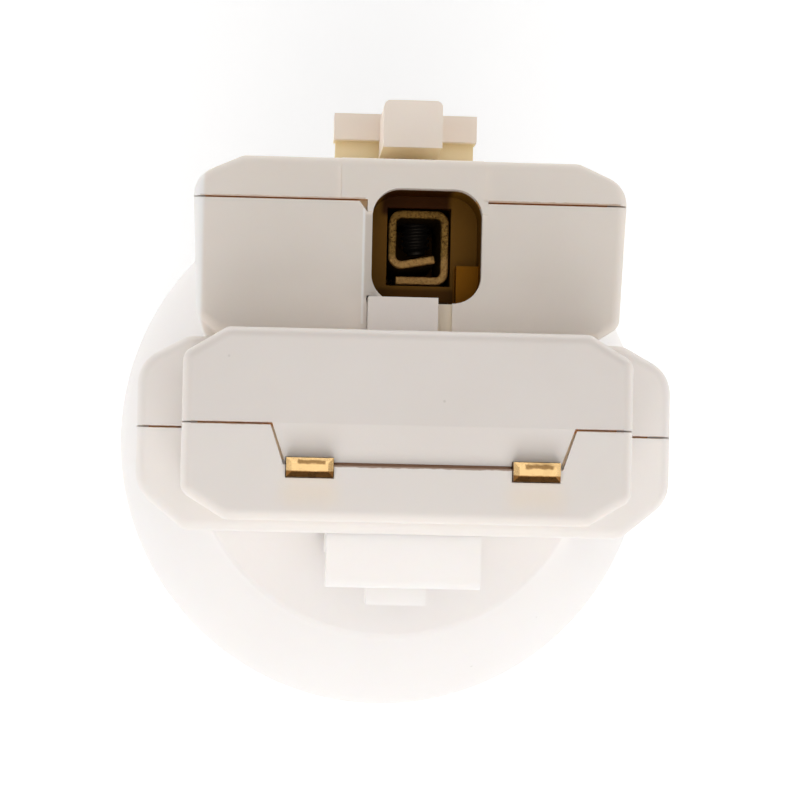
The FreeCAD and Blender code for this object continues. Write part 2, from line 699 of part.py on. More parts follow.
def add_ears(body, pivot, y_far, y_root):
    """Two ears with holes for the stubs of a latch; y_root is buried in the moulding."""
    inner = s.heel_half_width + s.ear_gap
    low, high = pivot_height - s.ear_half_length, pivot_height + s.ear_half_length
    y_low, y_high = (y_far, y_root) if y_far.value < y_root.value else (y_root, y_far)
    for name, side in (("left_ear", -1), ("right_ear", 1)):
        near = s.latch_centre + inner * side
        far = near + s.ear_thick * side
        x_low, x_high = (far, near) if side < 0 else (near, far)
        sketch = outline(body, name, "XY", box_points(x_low, x_high, y_low, y_high), low)
        pad(body, sketch, high - low)
    holes = circles(body, "pivot_holes", "YZ", [(pivot, pivot_height)],
                    s.pivot_radius + s.pivot_clear, s.latch_centre)
    pocket(body, holes, (inner + s.ear_thick + s.sink) * 2, middle=True)


def make_upper_shell():
    body = new_body("plug_upper_shell")
    nought = size(0)
    stem = [(s.tongue_centre + stem_half_width, nought),
            (s.tongue_centre + stem_half_width, s.stem_half_height),
            (s.tongue_centre - stem_half_width, s.stem_half_height),
            (s.tongue_centre - stem_half_width, nought)] + upper_joint(nought)
    level_pad(body, "stem", stem, stem_end, s.crown_height)
    collar = (s.collar_centre, s.collar_half_width, s.collar_top, s.collar_chamfer_x,
              s.collar_top_chamfer)
    block = (nought, s.block_half_width, s.block_half_height, s.block_chamfer_x, s.block_chamfer_y)
    joint_foot = collar_front - s.joint_depth
    level_pad(body, "collar", upper_outline(*collar, nought), s.crown_height, joint_foot)
    level_pad(body, "collar_front", upper_outline(*collar, s.joint_gap), joint_foot,
              collar_front)
    round_outline(body, "collar_corners", high_edge(*collar, s.joint_gap), s.collar_corner,
                  s.collar_flat_corner)
    round_front(body, "collar_round", high_edge(*collar, s.joint_gap), collar_front)
    taper_collar(body)
    level_pad(body, "block", upper_outline(*block, nought), joint_foot, plug_front - s.joint_depth)
    level_pad(body, "block_front", upper_outline(*block, s.joint_gap),
              plug_front - s.joint_depth, plug_front)
    round_outline(body, "block_corners", high_edge(*block, s.joint_gap), s.block_corner, s.block_corner)
    round_front(body, "block_round", high_edge(*block, s.joint_gap), plug_front)
    key = box_points(s.key_centre - s.key_width / 2, s.key_centre + s.key_width / 2,
                     s.block_half_height - s.sink, s.key_top)
    key_front = plug_front - s.key_step
    level_pad(body, "key", key, key_front - s.key_length, key_front)
    past = s.tongue_depth + s.sink
    slope = [(s.joint_gap, plug_front), (-past, plug_front),
             (-past, plug_front - s.tongue_slope * past / s.tongue_depth)]
    pocket(body, outline(body, "tongue_slope", "YZ", slope, s.tongue_centre),
           (tongue_half_top + s.sink) * 2, middle=True)
    add_barbs(body, nought, s.barb_half_height)
    return body


def blade(label, side):
    """Stamped blade: bevelled tip, straight shank, and a foot bent flat on the contact base."""
    body = new_body(label)
    middle = s.tongue_centre + s.blade_half_pitch * side
    left, right = middle - s.blade_width / 2, middle + s.blade_width / 2
    low, high = -s.blade_drop - s.blade_thick / 2, -s.blade_drop + s.blade_thick / 2
    tip = plug_front + s.blade_proud
    level_pad(body, "shank", box_points(left, right, low, high), base_top, tip)
    foot_left = left - s.foot_out if side < 0 else left
    foot_right = right if side < 0 else right + s.foot_out
    level_pad(body, "foot", box_points(foot_left, foot_right, low, s.foot_reach), base_top,
              base_top + s.blade_thick)
    place = rivet_places()[0 if side < 0 else 1]
    hole = circles(body, "foot_hole", "XY", [place], s.rivet_radius + s.blade_clear,
                   base_top + s.blade_thick)
    pocket(body, hole, s.blade_thick)
    doc.recompute()
    base = body.Tip
    names = ["Edge%d" % number for number, edge in enumerate(base.Shape.Edges, 1)
             if all_at("z", tip)(edge)]
    bevel = body.newObject("PartDesign::Chamfer", "tip_bevel")
    bevel.Base = (base, names)
    bind(bevel, "Size", s.blade_bevel)


# ---------------------------------------------------------------- earth block

def cut_opening(body):
    """The rounded opening, cut in body and cover from the same sketch."""
    left = s.opening_centre - s.opening_half_width
    right = s.opening_centre + s.opening_half_width
    radii = [s.opening_corner, s.opening_round, s.opening_round, s.opening_round]
    front = earth_front + s.panel_proud
    sketch = round_rectangle(body, "opening", "XY", left, right, s.opening_low, s.opening_high,
                             radii, front)
    pocket(body, sketch, s.opening_depth + s.panel_proud)


def arch_sides():
    """Left, right and low edges of the cover's legs beside the opening."""
    left = s.opening_centre - s.opening_half_width - s.arch_leg
    right = s.opening_centre + s.opening_half_width + s.arch_leg
    return left, right, s.earth_joint - s.arch_drop


def earth_sides():
    """The left and right ends of the earth block at its joint."""
    left = s.earth_centre - s.earth_half_width
    right = s.earth_centre + s.earth_half_width
    return left, right


def make_earth_body():
    body = new_body("earth_body")
    left, right = earth_sides()
    low, draft = s.collar_top, s.earth_draft
    corner_x, corner_y = s.earth_low_chamfer_x, s.earth_low_chamfer_y
    arch_left, arch_right, arch_low = arch_sides()

    def plan(gap, relief):
        joint = s.earth_joint - gap
        slid = draft * gap / (s.earth_joint - low - corner_y)
        return [(left + slid, joint), (left + draft, low + corner_y),
                (left + draft + corner_x, low), (right - draft - corner_x, low),
                (right - draft, low + corner_y), (right - slid, joint),
                (arch_right, joint), (arch_right, arch_low), (arch_left, arch_low),
                (arch_left - relief, joint)]

    joint_foot = earth_front - s.joint_depth
    front_plan = plan(s.joint_gap * 2, s.arch_notch)
    level_pad(body, "block", plan(size(0), size(0)), s.crown_height, joint_foot)
    level_pad(body, "block_front", front_plan, joint_foot, earth_front)
    round_corners(body, "block_corners", s.block_corner, front_plan[1:5])
    round_front(body, "block_round", front_plan[:6], earth_front)
    slot = box_points(s.slot_centre - s.slot_width / 2, s.slot_centre + s.slot_width / 2,
                      low - s.sink, s.slot_top)
    key_back = plug_front - s.key_step - s.key_length
    level_cut(body, "key_slot", slot, key_back - s.fit_gap, earth_front)
    cut_opening(body)
    wall = s.opening_centre + s.opening_half_width
    ledge = box_points(wall - s.ledge_width, wall + s.ledge_root, s.opening_low - s.ledge_root,
                       s.ledge_top)
    level_pad(body, "ledge", ledge, opening_floor - s.sink, earth_front - s.ledge_depth)
    clear = s.box_clear
    nest = box_points(s.box_left - clear, s.box_left + s.box_width + clear, s.box_low - clear,
                      s.earth_joint + s.sink)
    nest_floor = opening_floor - s.box_recess - s.box_length - clear
    level_cut(body, "contact_nest", nest, nest_floor, opening_floor)
    return body


def make_earth_cover():
    body = new_body("earth_cover")
    left, right = earth_sides()
    top, chamfer_x, chamfer_y = s.earth_top, s.cover_chamfer_x, s.cover_chamfer_y
    arch_left, arch_right, arch_low = arch_sides()
    plan = [(left, s.earth_joint), (arch_left, s.earth_joint), (arch_left, arch_low),
            (arch_right, arch_low), (arch_right, s.earth_joint), (right, s.earth_joint),
            (right, top - chamfer_y), (right - chamfer_x, top), (left + chamfer_x, top),
            (left, top - chamfer_y)]
    level_pad(body, "cover", plan, s.crown_height, earth_front)
    round_corners(body, "end_corners", s.cover_corner, [plan[6], plan[9]])
    round_corners(body, "top_corners", s.block_corner, plan[7:9])
    round_front(body, "cover_round", plan[5:] + plan[:1], earth_front)
    panel_left = s.panel_centre - s.panel_half_width
    panel_right = s.panel_centre + s.panel_half_width
    panel_front = earth_front + s.panel_proud
    panel = [(panel_left, top), (panel_left, s.earth_joint), (arch_left, s.earth_joint),
             (arch_left, arch_low), (arch_right, arch_low), (arch_right, s.earth_joint),
             (panel_right, s.earth_joint), (panel_right, top)]
    level_pad(body, "panel", panel, earth_front - s.front_round, panel_front)
    round_front(body, "panel_round", [(panel_left, top), (panel_right, top)], panel_front)
    cut_opening(body)
    room = box_points(s.box_left - s.box_clear, s.box_left + s.box_width + s.box_clear,
                      arch_low - s.sink, s.earth_joint)
    nest_floor = opening_floor - s.box_recess - s.box_length - s.box_clear
    level_cut(body, "contact_room", room, nest_floor, opening_floor)
    add_ears(body, s.top_pivot, s.top_pivot + s.ear_over, s.earth_top - s.sink)
    return body


# ---------------------------------------------------------------- latches

def stubs(body, pivot):
    sketch = circles(body, "pivot_stubs", "YZ", [(pivot, pivot_height)], s.pivot_radius,
                     s.latch_centre)
    pad(body, sketch, (s.heel_half_width + s.ear_thick) * 2, middle=True)


def across(body, name, half, y_low, y_high, z_low, z_high, middle=None):
    """A block across the latch's middle, or across another middle."""
    middle = middle or s.latch_centre
    points = box_points(middle - half, middle + half, y_low, y_high)
    level_pad(body, name, points, z_low, z_high)


def barrel(body, pivot):
    sketch = circles(body, "barrel", "YZ", [(pivot, pivot_height)], s.barrel_radius, s.latch_centre)
    pad(body, sketch, s.heel_half_width * 2, middle=True)


def make_top_latch():
    body = new_body("top_latch")
    barrel(body, s.top_pivot)
    shoulder = pivot_height + s.heel_length
    across(body, "heel", s.heel_half_width, s.top_arm_low, s.top_arm_high, pivot_height, shoulder)
    across(body, "arm", s.top_arm_half_width, s.top_arm_low, s.top_arm_high, shoulder, top_arm_front)
    across(body, "lip", s.lip_half_width, s.top_arm_high - s.lip_under, s.lip_high, lip_back, lip_front)
    across(body, "nose", s.nose_half_width, s.nose_low, s.lip_high, top_arm_front - s.sink,
           nose_front, s.nose_centre)
    stubs(body, s.top_pivot)

    def wanted(edge):
        ends = [vertex.Point for vertex in edge.Vertexes]
        if any(abs(point.y - s.lip_high.value) > 1e-4 for point in ends):
            return False
        half = abs(ends[0].x - s.nose_centre.value)
        along = abs(ends[0].x - ends[-1].x) < 1e-4
        return along and abs(half - s.nose_half_width.value) < 1e-4
    round_edges(body, "nose_round", s.nose_round, wanted)


def make_bottom_latch():
    body = new_body("bottom_latch")
    barrel(body, -s.low_pivot)
    shoulder = pivot_height + s.heel_length
    low_nose_front = collar_front - s.notch_lip - s.nose_gap
    nose_back = low_nose_front - s.low_nose_length
    across(body, "heel", s.heel_half_width, -s.low_arm_low, -s.low_arm_high, pivot_height, shoulder)
    across(body, "arm", s.low_nose_half_width, -s.low_arm_low, -s.low_arm_high, shoulder, nose_back,
           s.low_nose_centre)
    across(body, "nose", s.low_nose_half_width, -s.low_nose_low, -s.low_nose_high, nose_back,
           low_nose_front, s.low_nose_centre)
    across(body, "tab", s.low_tab_half_width, -s.low_tab_low, -s.low_arm_high, low_tab_back,
           low_tab_front)
    stubs(body, -s.low_pivot)
    front = all_at("z", low_nose_front)
    outer = all_at("y", -s.low_nose_low)
    round_edges(body, "nose_round", s.low_nose_round, lambda edge: front(edge) and outer(edge))


# ---------------------------------------------------------------- folded sheet pieces

# Share of a straight leg that one bend may take up, a little under half.
LEG_SHARE = 0.45


def rounded_path(points, radius):
    """A wire through flat points, each bend an arc of the given radius or as large as fits."""
    edges = []
    start = points[0]
    for before, corner, after in zip(points, points[1:], points[2:]):
        inward, outward = (before - corner), (after - corner)
        turn = math.pi - inward.getAngle(outward)
        longest = min(inward.Length, outward.Length) * LEG_SHARE
        reach = min(radius.value * math.tan(turn / 2), longest)
        bend_start = corner + inward.normalize() * reach
        bend_end = corner + outward.normalize() * reach
        towards = (inward + outward).normalize()
        arc_radius = reach / math.tan(turn / 2)
        middle = corner + towards * (arc_radius / math.cos(turn / 2) - arc_radius)
        edges.append(Part.makeLine(start, bend_start))
        edges.append(Part.Arc(bend_start, middle, bend_end).toShape())
        start = bend_end
    edges.append(Part.makeLine(start, points[-1]))
    return Part.Wire(edges)


def folded_strip(label, corners, sheet, width, bend, turn, place):
    """Sheet of one thickness, bent along a path and as wide as given, as one solid."""
    path = rounded_path([flat(corner) for corner in corners], bend)
    half = sheet.value / 2
    sides = [path.makeOffset2D(way * half, 0, False, True, False) for way in (1, -1)]
    first, second = [wire.OrderedVertexes for wire in sides]
    if first[0].Point.distanceToPoint(second[0].Point) > path.Length / 2:
        second = second[::-1]
    caps = [Part.makeLine(first[0].Point, second[0].Point),
            Part.makeLine(first[-1].Point, second[-1].Point)]
    rim = Part.Wire(Part.__sortEdges__(sides[0].Edges + sides[1].Edges + caps))
    centred = FreeCAD.Placement(FreeCAD.Vector(0, 0, -width.value / 2), FreeCAD.Rotation())
    feature = doc.addObject("Part::Feature", label)
    feature.Label = label
    feature.Shape = Part.Face(rim).extrude(FreeCAD.Vector(0, 0, width.value))
    feature.Placement = FreeCAD.Placement(place, turn).multiply(centred)
    return feature


IN_PLAN = FreeCAD.Rotation()
# Path in X and Z, width along Y; and path in Y and Z, width along X.
SIDE_ON = FreeCAD.Rotation(FreeCAD.Vector(1, 0, 0), 90)
END_ON = FreeCAD.Rotation(FreeCAD.Vector(0, 1, 0), FreeCAD.Vector(0, 0, 1), FreeCAD.Vector(1, 0, 0))


def drill(feature, centre, direction, radius, length):
    """Cuts a round hole through a folded piece; its placement stays as it is."""
    tool = Part.makeCylinder(radius.value, length.value, centre, direction)
    placement = feature.Placement
    tool.transformShape(placement.inverse().toMatrix(), True)
    local = feature.Shape.copy()
    local.Placement = FreeCAD.Placement()
    feature.Shape = local.cut(tool)
    feature.Placement = placement


def make_earth_contact():
    """Box folded from one strip; its first end turns in as a spring tongue."""
    half = s.box_sheet / 2
    left, right = s.box_left + half, s.box_left + s.box_width - half
    low, high = s.box_low + half, s.box_low + s.box_height - half
    tongue = low + s.box_tongue
    corners = [(right - s.box_tongue_short, tongue + s.box_tongue_rise), (left, tongue), (left, high),
               (right, high), (right, low), (left + half, low)]
    middle = (opening_floor - s.box_recess - s.box_length / 2).value
    feature = folded_strip("earth_contact", corners, s.box_sheet, s.box_length, s.box_bend, IN_PLAN,
                           FreeCAD.Vector(0, 0, middle))
    axis_x = (s.box_left + s.box_width / 2).value
    axis_z = (opening_floor - s.box_recess - s.screw_back).value
    start = FreeCAD.Vector(axis_x, (high - s.box_sheet).value, axis_z)
    drill(feature, start, FreeCAD.Vector(0, 1, 0), s.screw_radius + s.blade_clear, s.box_sheet * 2)


def make_earth_screw():
    screw = doc.addObject("Part::Cylinder", "EarthScrew")
    screw.Label = "earth_screw"
    bind(screw, "Radius", s.screw_radius)
    bind(screw, "Height", s.screw_top - s.screw_end)
    bind(screw, "Placement.Base.x", s.box_left + s.box_width / 2)
    bind(screw, "Placement.Base.y", s.screw_top)
    bind(screw, "Placement.Base.z", opening_floor - s.box_recess - s.screw_back)
    screw.Placement.Rotation = FreeCAD.Rotation(FreeCAD.Vector(1, 0, 0), 90)
    return screw


def make_centre_contact():
    """Flat tail under the base, then a leaf that slopes down to the axis."""
    half = s.strip_sheet / 2
    flat_z = s.base_height - half
    low = s.base_height - s.centre_drop
    corners = [(-s.centre_tail, flat_z), (-s.centre_bend, flat_z), (-s.centre_pad, low),
               (s.centre_pad, low), (s.centre_reach, low + s.strip_sheet)]
    feature = folded_strip("centre_contact", corners, s.strip_sheet, s.centre_width, s.strip_bend,
                           SIDE_ON, FreeCAD.Vector())
    up = FreeCAD.Vector(0, 0, 1)
    tail = FreeCAD.Vector(rivet_places()[0][0].value, 0, (flat_z - s.strip_sheet).value)
    drill(feature, tail, up, s.rivet_radius + s.blade_clear, s.strip_sheet * 2)
    pad_start = FreeCAD.Vector(0, 0, (low - s.strip_sheet).value)
    drill(feature, pad_start, up, s.tip_shank + s.tip_clear, s.strip_sheet * 2)


def make_centre_tip():
    """Contact rivet: a domed head below the strip, its shank, and a small head above."""
    body = new_body("centre_tip")
    low = s.base_height - s.centre_drop - s.strip_sheet / 2
    high = low + s.strip_sheet
    top = high + s.tip_flare
    points = [(0, low - s.tip_height), (s.tip_flat, low - s.tip_height),
              (s.tip_radius, low - s.tip_height / 3), (s.tip_radius, low), (s.tip_shank, low),
              (s.tip_shank, high), (s.tip_shank + s.tip_flare, high),
              (s.tip_shank + s.tip_flare / 2, top), (0, top)]
    revolve(body, outline(body, "tip_profile", "XZ", points))


def make_shell_contact():
    """Tail under the base, then a leg along the chamber wall that bows towards the lamp."""
    half = s.strip_sheet / 2
    flat_z = s.base_height - half
    end = s.base_height - s.shell_drop
    corners = [(s.shell_inner, flat_z), (s.shell_out, flat_z), (s.shell_out, flat_z - s.shell_straight),
               (s.shell_out - s.shell_bow, s.base_height - s.shell_crest), (s.shell_out, end)]
    feature = folded_strip("shell_contact", corners, s.strip_sheet, s.shell_width, s.strip_bend,
                           SIDE_ON, FreeCAD.Vector())
    tail = FreeCAD.Vector(rivet_places()[1][0].value, 0, (flat_z - s.strip_sheet).value)
    drill(feature, tail, FreeCAD.Vector(0, 0, 1), s.rivet_radius + s.blade_clear, s.strip_sheet * 2)


def make_latch_spring(label, seat, gap, away):
    """Leaf between a latch's arm and the moulding it is pressed towards."""
    half = s.spring_sheet / 2
    start = pivot_height + s.heel_length - s.spring_tail / 2
    end = start + s.spring_tail + s.spring_length
    inner, outer = seat + half * away, seat + (gap - half) * away
    corners = [(inner, end), (inner, end - s.spring_foot),
               (outer, start + s.spring_tail * 2), (outer, start)]
    folded_strip(label, corners, s.spring_sheet, s.spring_width, s.spring_bend, END_ON,
                 FreeCAD.Vector(s.latch_centre.value, 0, 0))


def make_rivets():
    """Two tubular rivets through blade foot, base and contact strip, as one node."""
    low = s.base_height - s.strip_sheet
    high = base_top + s.blade_thick
    solids = []
    for place, _ in rivet_places():
        x = place.value
        shank = Part.makeCylinder(s.rivet_radius.value, (high - low).value,
                                  FreeCAD.Vector(x, 0, low.value))
        upper = Part.makeCylinder(s.rivet_head.value, s.rivet_head_thick.value,
                                  FreeCAD.Vector(x, 0, high.value))
        lower = Part.makeCylinder(s.rivet_head.value, s.rivet_head_thick.value,
                                  FreeCAD.Vector(x, 0, (low - s.rivet_head_thick).value))
        solids.append(shank.fuse([upper, lower]).removeSplitter())
    feature = doc.addObject("Part::Feature", "contact_rivets")
    feature.Label = "contact_rivets"
    feature.Shape = Part.makeCompound(solids)


# ---------------------------------------------------------------- the whole holder

make_skirt()
make_dome()
make_thread_insert()
make_contact_base()
make_lower_shell()
make_upper_shell()
blade("line_blade", -1)
blade("neutral_blade", 1)
make_earth_body()
make_earth_cover()
make_earth_contact()
make_earth_screw()
make_top_latch()
make_bottom_latch()
make_centre_contact()
make_centre_tip()
make_shell_contact()
make_latch_spring("top_latch_spring", s.earth_top, s.top_arm_low - s.earth_top, 1)
make_latch_spring("bottom_latch_spring", -s.notch_top, s.low_arm_high - s.notch_top, -1)
make_rivets()
doc.recompute()

for item in doc.Objects:
    if "Invalid" in item.State or "Error" in item.State:
        raise RuntimeError("%s did not compute: %s" % (item.Label, item.State))

NODES = ["skirt", "dome", "thread_insert", "contact_base", "plug_lower_shell", "plug_upper_shell",
         "line_blade", "neutral_blade", "earth_body", "earth_cover", "earth_contact", "earth_screw",
         "top_latch", "bottom_latch", "top_latch_spring", "bottom_latch_spring", "centre_contact",
         "centre_tip", "shell_contact", "contact_rivets"]

os.makedirs("parts", exist_ok=True)
for node in NODES:
    shape = doc.getObjectsByLabel(node)[0].Shape
    if shape.isNull() or not shape.isValid():
        raise RuntimeError("%s has no valid shape" % node)
    print("%-20s %d solid(s) %9.2f mm3 %s" % (node, len(shape.Solids), shape.Volume, shape.BoundBox))
    shape.exportStep("parts/%s.step" % node)
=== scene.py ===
import json
import math

import bmesh
import bpy
import numpy as np
from mathutils import Matrix, Vector


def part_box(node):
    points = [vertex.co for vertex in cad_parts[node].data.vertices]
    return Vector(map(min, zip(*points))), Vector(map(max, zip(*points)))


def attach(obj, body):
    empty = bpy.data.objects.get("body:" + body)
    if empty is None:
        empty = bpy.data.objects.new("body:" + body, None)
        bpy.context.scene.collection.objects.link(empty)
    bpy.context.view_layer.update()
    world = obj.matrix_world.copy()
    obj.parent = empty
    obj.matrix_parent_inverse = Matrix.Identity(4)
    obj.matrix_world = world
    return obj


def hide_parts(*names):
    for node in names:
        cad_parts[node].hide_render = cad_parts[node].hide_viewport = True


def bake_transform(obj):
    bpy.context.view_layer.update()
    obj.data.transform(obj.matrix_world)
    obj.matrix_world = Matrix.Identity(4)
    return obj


# Plug-in lamp holder: finishes of its mouldings and contacts, and the fine forms that are
# worked out as surfaces: lamp thread, earth screw, spring leaves, folded box contact, rivets,
# and the rounded corner of the opening with the shallow slot beside the key.
# Lengths are metres in the holder's own frame: +Z towards the plug, +Y towards the earth block.

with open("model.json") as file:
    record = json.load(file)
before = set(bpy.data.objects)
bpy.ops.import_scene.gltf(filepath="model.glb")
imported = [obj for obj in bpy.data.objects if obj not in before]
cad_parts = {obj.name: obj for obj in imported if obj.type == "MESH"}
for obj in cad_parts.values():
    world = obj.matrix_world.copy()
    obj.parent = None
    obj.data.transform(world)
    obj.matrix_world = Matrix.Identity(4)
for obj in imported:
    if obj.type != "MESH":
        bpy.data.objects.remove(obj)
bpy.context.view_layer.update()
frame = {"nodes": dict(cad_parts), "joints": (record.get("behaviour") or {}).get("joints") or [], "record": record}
nodes = frame["nodes"]
MM = 0.001
WELD = 1e-7
SHARP = math.radians(40)
LEG_SHARE = 0.45


# ---------------------------------------------------------------- places taken from the frame

def low(node):
    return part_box(node)[0]


def high(node):
    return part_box(node)[1]


def mount(name):
    return [item for item in frame["record"]["mounts"] if item["name"] == name][0]


def pivot(joint):
    return Vector([item for item in frame["joints"] if item["name"] == joint][0]["pos_m"])


PLUG_FRONT = high("plug_upper_shell").z
EARTH_FRONT = high("earth_body").z
EARTH_JOINT = high("earth_body").y
OPENING_FLOOR = high("earth_contact").z + 0.2 * MM
THREAD_WALL = mount("lamp_thread")["dims"]["r_mm"] * MM
THREAD_LENGTH = mount("lamp_thread")["dims"]["length_mm"] * MM

# Edges inside a piece, which its box doesn't give.
COLLAR_FRONT = PLUG_FRONT - 12.4 * MM
OPENING_LEFT, OPENING_RIGHT = -2.32 * MM, 5.1 * MM
OPENING_LOW, OPENING_HIGH = 8.59 * MM, 16.29 * MM
CORNER_ROUND = 1.9 * MM
KEY_LEFT, KEY_RIGHT, KEY_TOP = -2.535 * MM, 2.135 * MM, 8.83 * MM
SLOT_LEFT, SLOT_RIGHT = -2.62 * MM, 3.18 * MM
SLOT_FLOOR = PLUG_FRONT - 13.4 * MM
TONGUE_LEFT, TONGUE_RIGHT, TONGUE_FOOT = -8.8 * MM, 10.9 * MM, -2.56 * MM
BLADE_WIDTH = 3.05 * MM
NOSE_DEEP = 3.25 * MM


# ---------------------------------------------------------------- node trees

def put(tree, kind, **settings):
    """A node of one kind; its plain settings are attributes, the rest are its input values."""
    node = tree.nodes.new(kind)
    for name, value in settings.items():
        if hasattr(node, name):
            setattr(node, name, value)
        else:
            node.inputs[name.replace("_", " ")].default_value = value
    return node


def join(tree, source, target):
    tree.links.new(source, target)


def new_group(name, inputs, outputs):
    """An empty shader group with its sockets, and its input and output nodes."""
    group = bpy.data.node_groups.new(name, "ShaderNodeTree")
    for label, kind, value in inputs:
        socket = group.interface.new_socket(name=label, in_out="INPUT",
                                            socket_type="NodeSocket" + kind)
        if value is not None:
            socket.default_value = value
    for label, kind in outputs:
        group.interface.new_socket(name=label, in_out="OUTPUT", socket_type="NodeSocket" + kind)
    return group, group.nodes.new("NodeGroupInput"), group.nodes.new("NodeGroupOutput")


def ramp(tree, source, begin, end, to_low=0.0, to_high=1.0, smooth=False):
    """Maps a value from one range to another, held at both ends."""
    node = put(tree, "ShaderNodeMapRange", interpolation_type="SMOOTHSTEP" if smooth else "LINEAR")
    join(tree, source, node.inputs["Value"])
    limits = {"From Min": begin, "From Max": end, "To Min": to_low, "To Max": to_high}
    for label, value in limits.items():
        node.inputs[label].default_value = value
    return node.outputs["Result"]


def combine(tree, operation, first, second):
    """A sum, product or other operation of two values, each a socket or a number."""
    node = put(tree, "ShaderNodeMath", operation=operation)
    for slot, value in zip(node.inputs, (first, second)):
        if isinstance(value, (int, float)):
            slot.default_value = value
        else:
            join(tree, value, slot)
    return node.outputs[0]


def mix_colour(tree, factor, first, second):
    """The first colour turned into the second by a factor, each a socket or a value."""
    node = put(tree, "ShaderNodeMix", data_type="RGBA")
    factor_slot, first_slot, second_slot = node.inputs[0], node.inputs[6], node.inputs[7]
    for slot, value in ((factor_slot, factor), (first_slot, first), (second_slot, second)):
        if isinstance(value, bpy.types.NodeSocket):
            join(tree, value, slot)
        else:
            slot.default_value = value
    return node.outputs[2]


def rgb(red, green, blue):
    return (red, green, blue, 1.0)


# ---------------------------------------------------------------- shared effects

def make_moulded_skin():
    """Skin of a moulded plastic: slow drift of tone, a fine spark-eroded grain, and a few
    specks in the melt. Each tone is noise over the piece, drawn between the two colours."""
    group, given, made = new_group(
        "moulded_skin",
        [("Vector", "Vector", None), ("Base", "Color", rgb(0.85, 0.8, 0.75)),
         ("Shade", "Color", rgb(0.8, 0.74, 0.68)), ("Drift Scale", "Float", 90.0),
         ("Grain Scale", "Float", 5200.0), ("Gloss", "Float", 0.4)],
        [("Color", "Color"), ("Roughness", "Float"), ("Height", "Float")])
    drift = put(group, "ShaderNodeTexNoise", Detail=3.0, Roughness=0.55)
    grain = put(group, "ShaderNodeTexNoise", Detail=2.0, Roughness=0.6)
    speck = put(group, "ShaderNodeTexVoronoi", Scale=430.0)
    for node in (drift, grain, speck):
        join(group, given.outputs["Vector"], node.inputs["Vector"])
    join(group, given.outputs["Drift Scale"], drift.inputs["Scale"])
    join(group, given.outputs["Grain Scale"], grain.inputs["Scale"])
    tone = ramp(group, drift.outputs["Fac"], 0.3, 0.7)
    colour = mix_colour(group, tone, given.outputs["Shade"], given.outputs["Base"])
    near = ramp(group, speck.outputs["Distance"], 0.03, 0.06, 1.0, 0.0)
    rare = put(group, "ShaderNodeSeparateColor")
    join(group, speck.outputs["Color"], rare.inputs["Color"])
    chosen = ramp(group, rare.outputs["Red"], 0.9, 0.94, 0.0, 0.35)
    specks = combine(group, "MULTIPLY", near, chosen)
    colour = mix_colour(group, specks, colour, rgb(0.42, 0.36, 0.3))
    join(group, colour, made.inputs["Color"])
    matt = ramp(group, grain.outputs["Fac"], 0.35, 0.65, -0.05, 0.05)
    join(group, combine(group, "ADD", matt, given.outputs["Gloss"]), made.inputs["Roughness"])
    join(group, grain.outputs["Fac"], made.inputs["Height"])
    return group


def make_worked_metal():
    """Skin of a worked metal: grain drawn out along one axis, stains that darken it, and fine
    pits. The grain is noise squeezed by the stretch vector before it is read."""
    group, given, made = new_group(
        "worked_metal",
        [("Vector", "Vector", None), ("Base", "Color", rgb(0.8, 0.6, 0.25)),
         ("Stain", "Color", rgb(0.3, 0.18, 0.06)), ("Stretch", "Vector", (1.0, 1.0, 1.0)),
         ("Grain Scale", "Float", 4000.0), ("Stain Amount", "Float", 0.3),
         ("Stain Scale", "Float", 700.0), ("Gloss", "Float", 0.25)],
        [("Color", "Color"), ("Roughness", "Float"), ("Height", "Float")])
    drawn = put(group, "ShaderNodeVectorMath", operation="MULTIPLY")
    join(group, given.outputs["Vector"], drawn.inputs[0])
    join(group, given.outputs["Stretch"], drawn.inputs[1])
    grain = put(group, "ShaderNodeTexNoise", Detail=3.0, Roughness=0.65)
    stain = put(group, "ShaderNodeTexNoise", Detail=4.0, Roughness=0.6)
    join(group, given.outputs["Stain Scale"], stain.inputs["Scale"])
    join(group, drawn.outputs[0], grain.inputs["Vector"])
    join(group, given.outputs["Grain Scale"], grain.inputs["Scale"])
    join(group, given.outputs["Vector"], stain.inputs["Vector"])
    mask = combine(group, "MULTIPLY", ramp(group, stain.outputs["Fac"], 0.45, 0.7),
                   given.outputs["Stain Amount"])
    line = ramp(group, grain.outputs["Fac"], 0.35, 0.65, 0.0, 0.25)
    streaks = combine(group, "MULTIPLY", line, given.outputs["Stain Amount"])
    spread = combine(group, "MAXIMUM", mask, streaks)
    colour = mix_colour(group, spread, given.outputs["Base"], given.outputs["Stain"])
    join(group, colour, made.inputs["Color"])
    rough = combine(group, "ADD", given.outputs["Gloss"], combine(group, "MULTIPLY", spread, 0.35))
    join(group, rough, made.inputs["Roughness"])
    join(group, grain.outputs["Fac"], made.inputs["Height"])
    return group


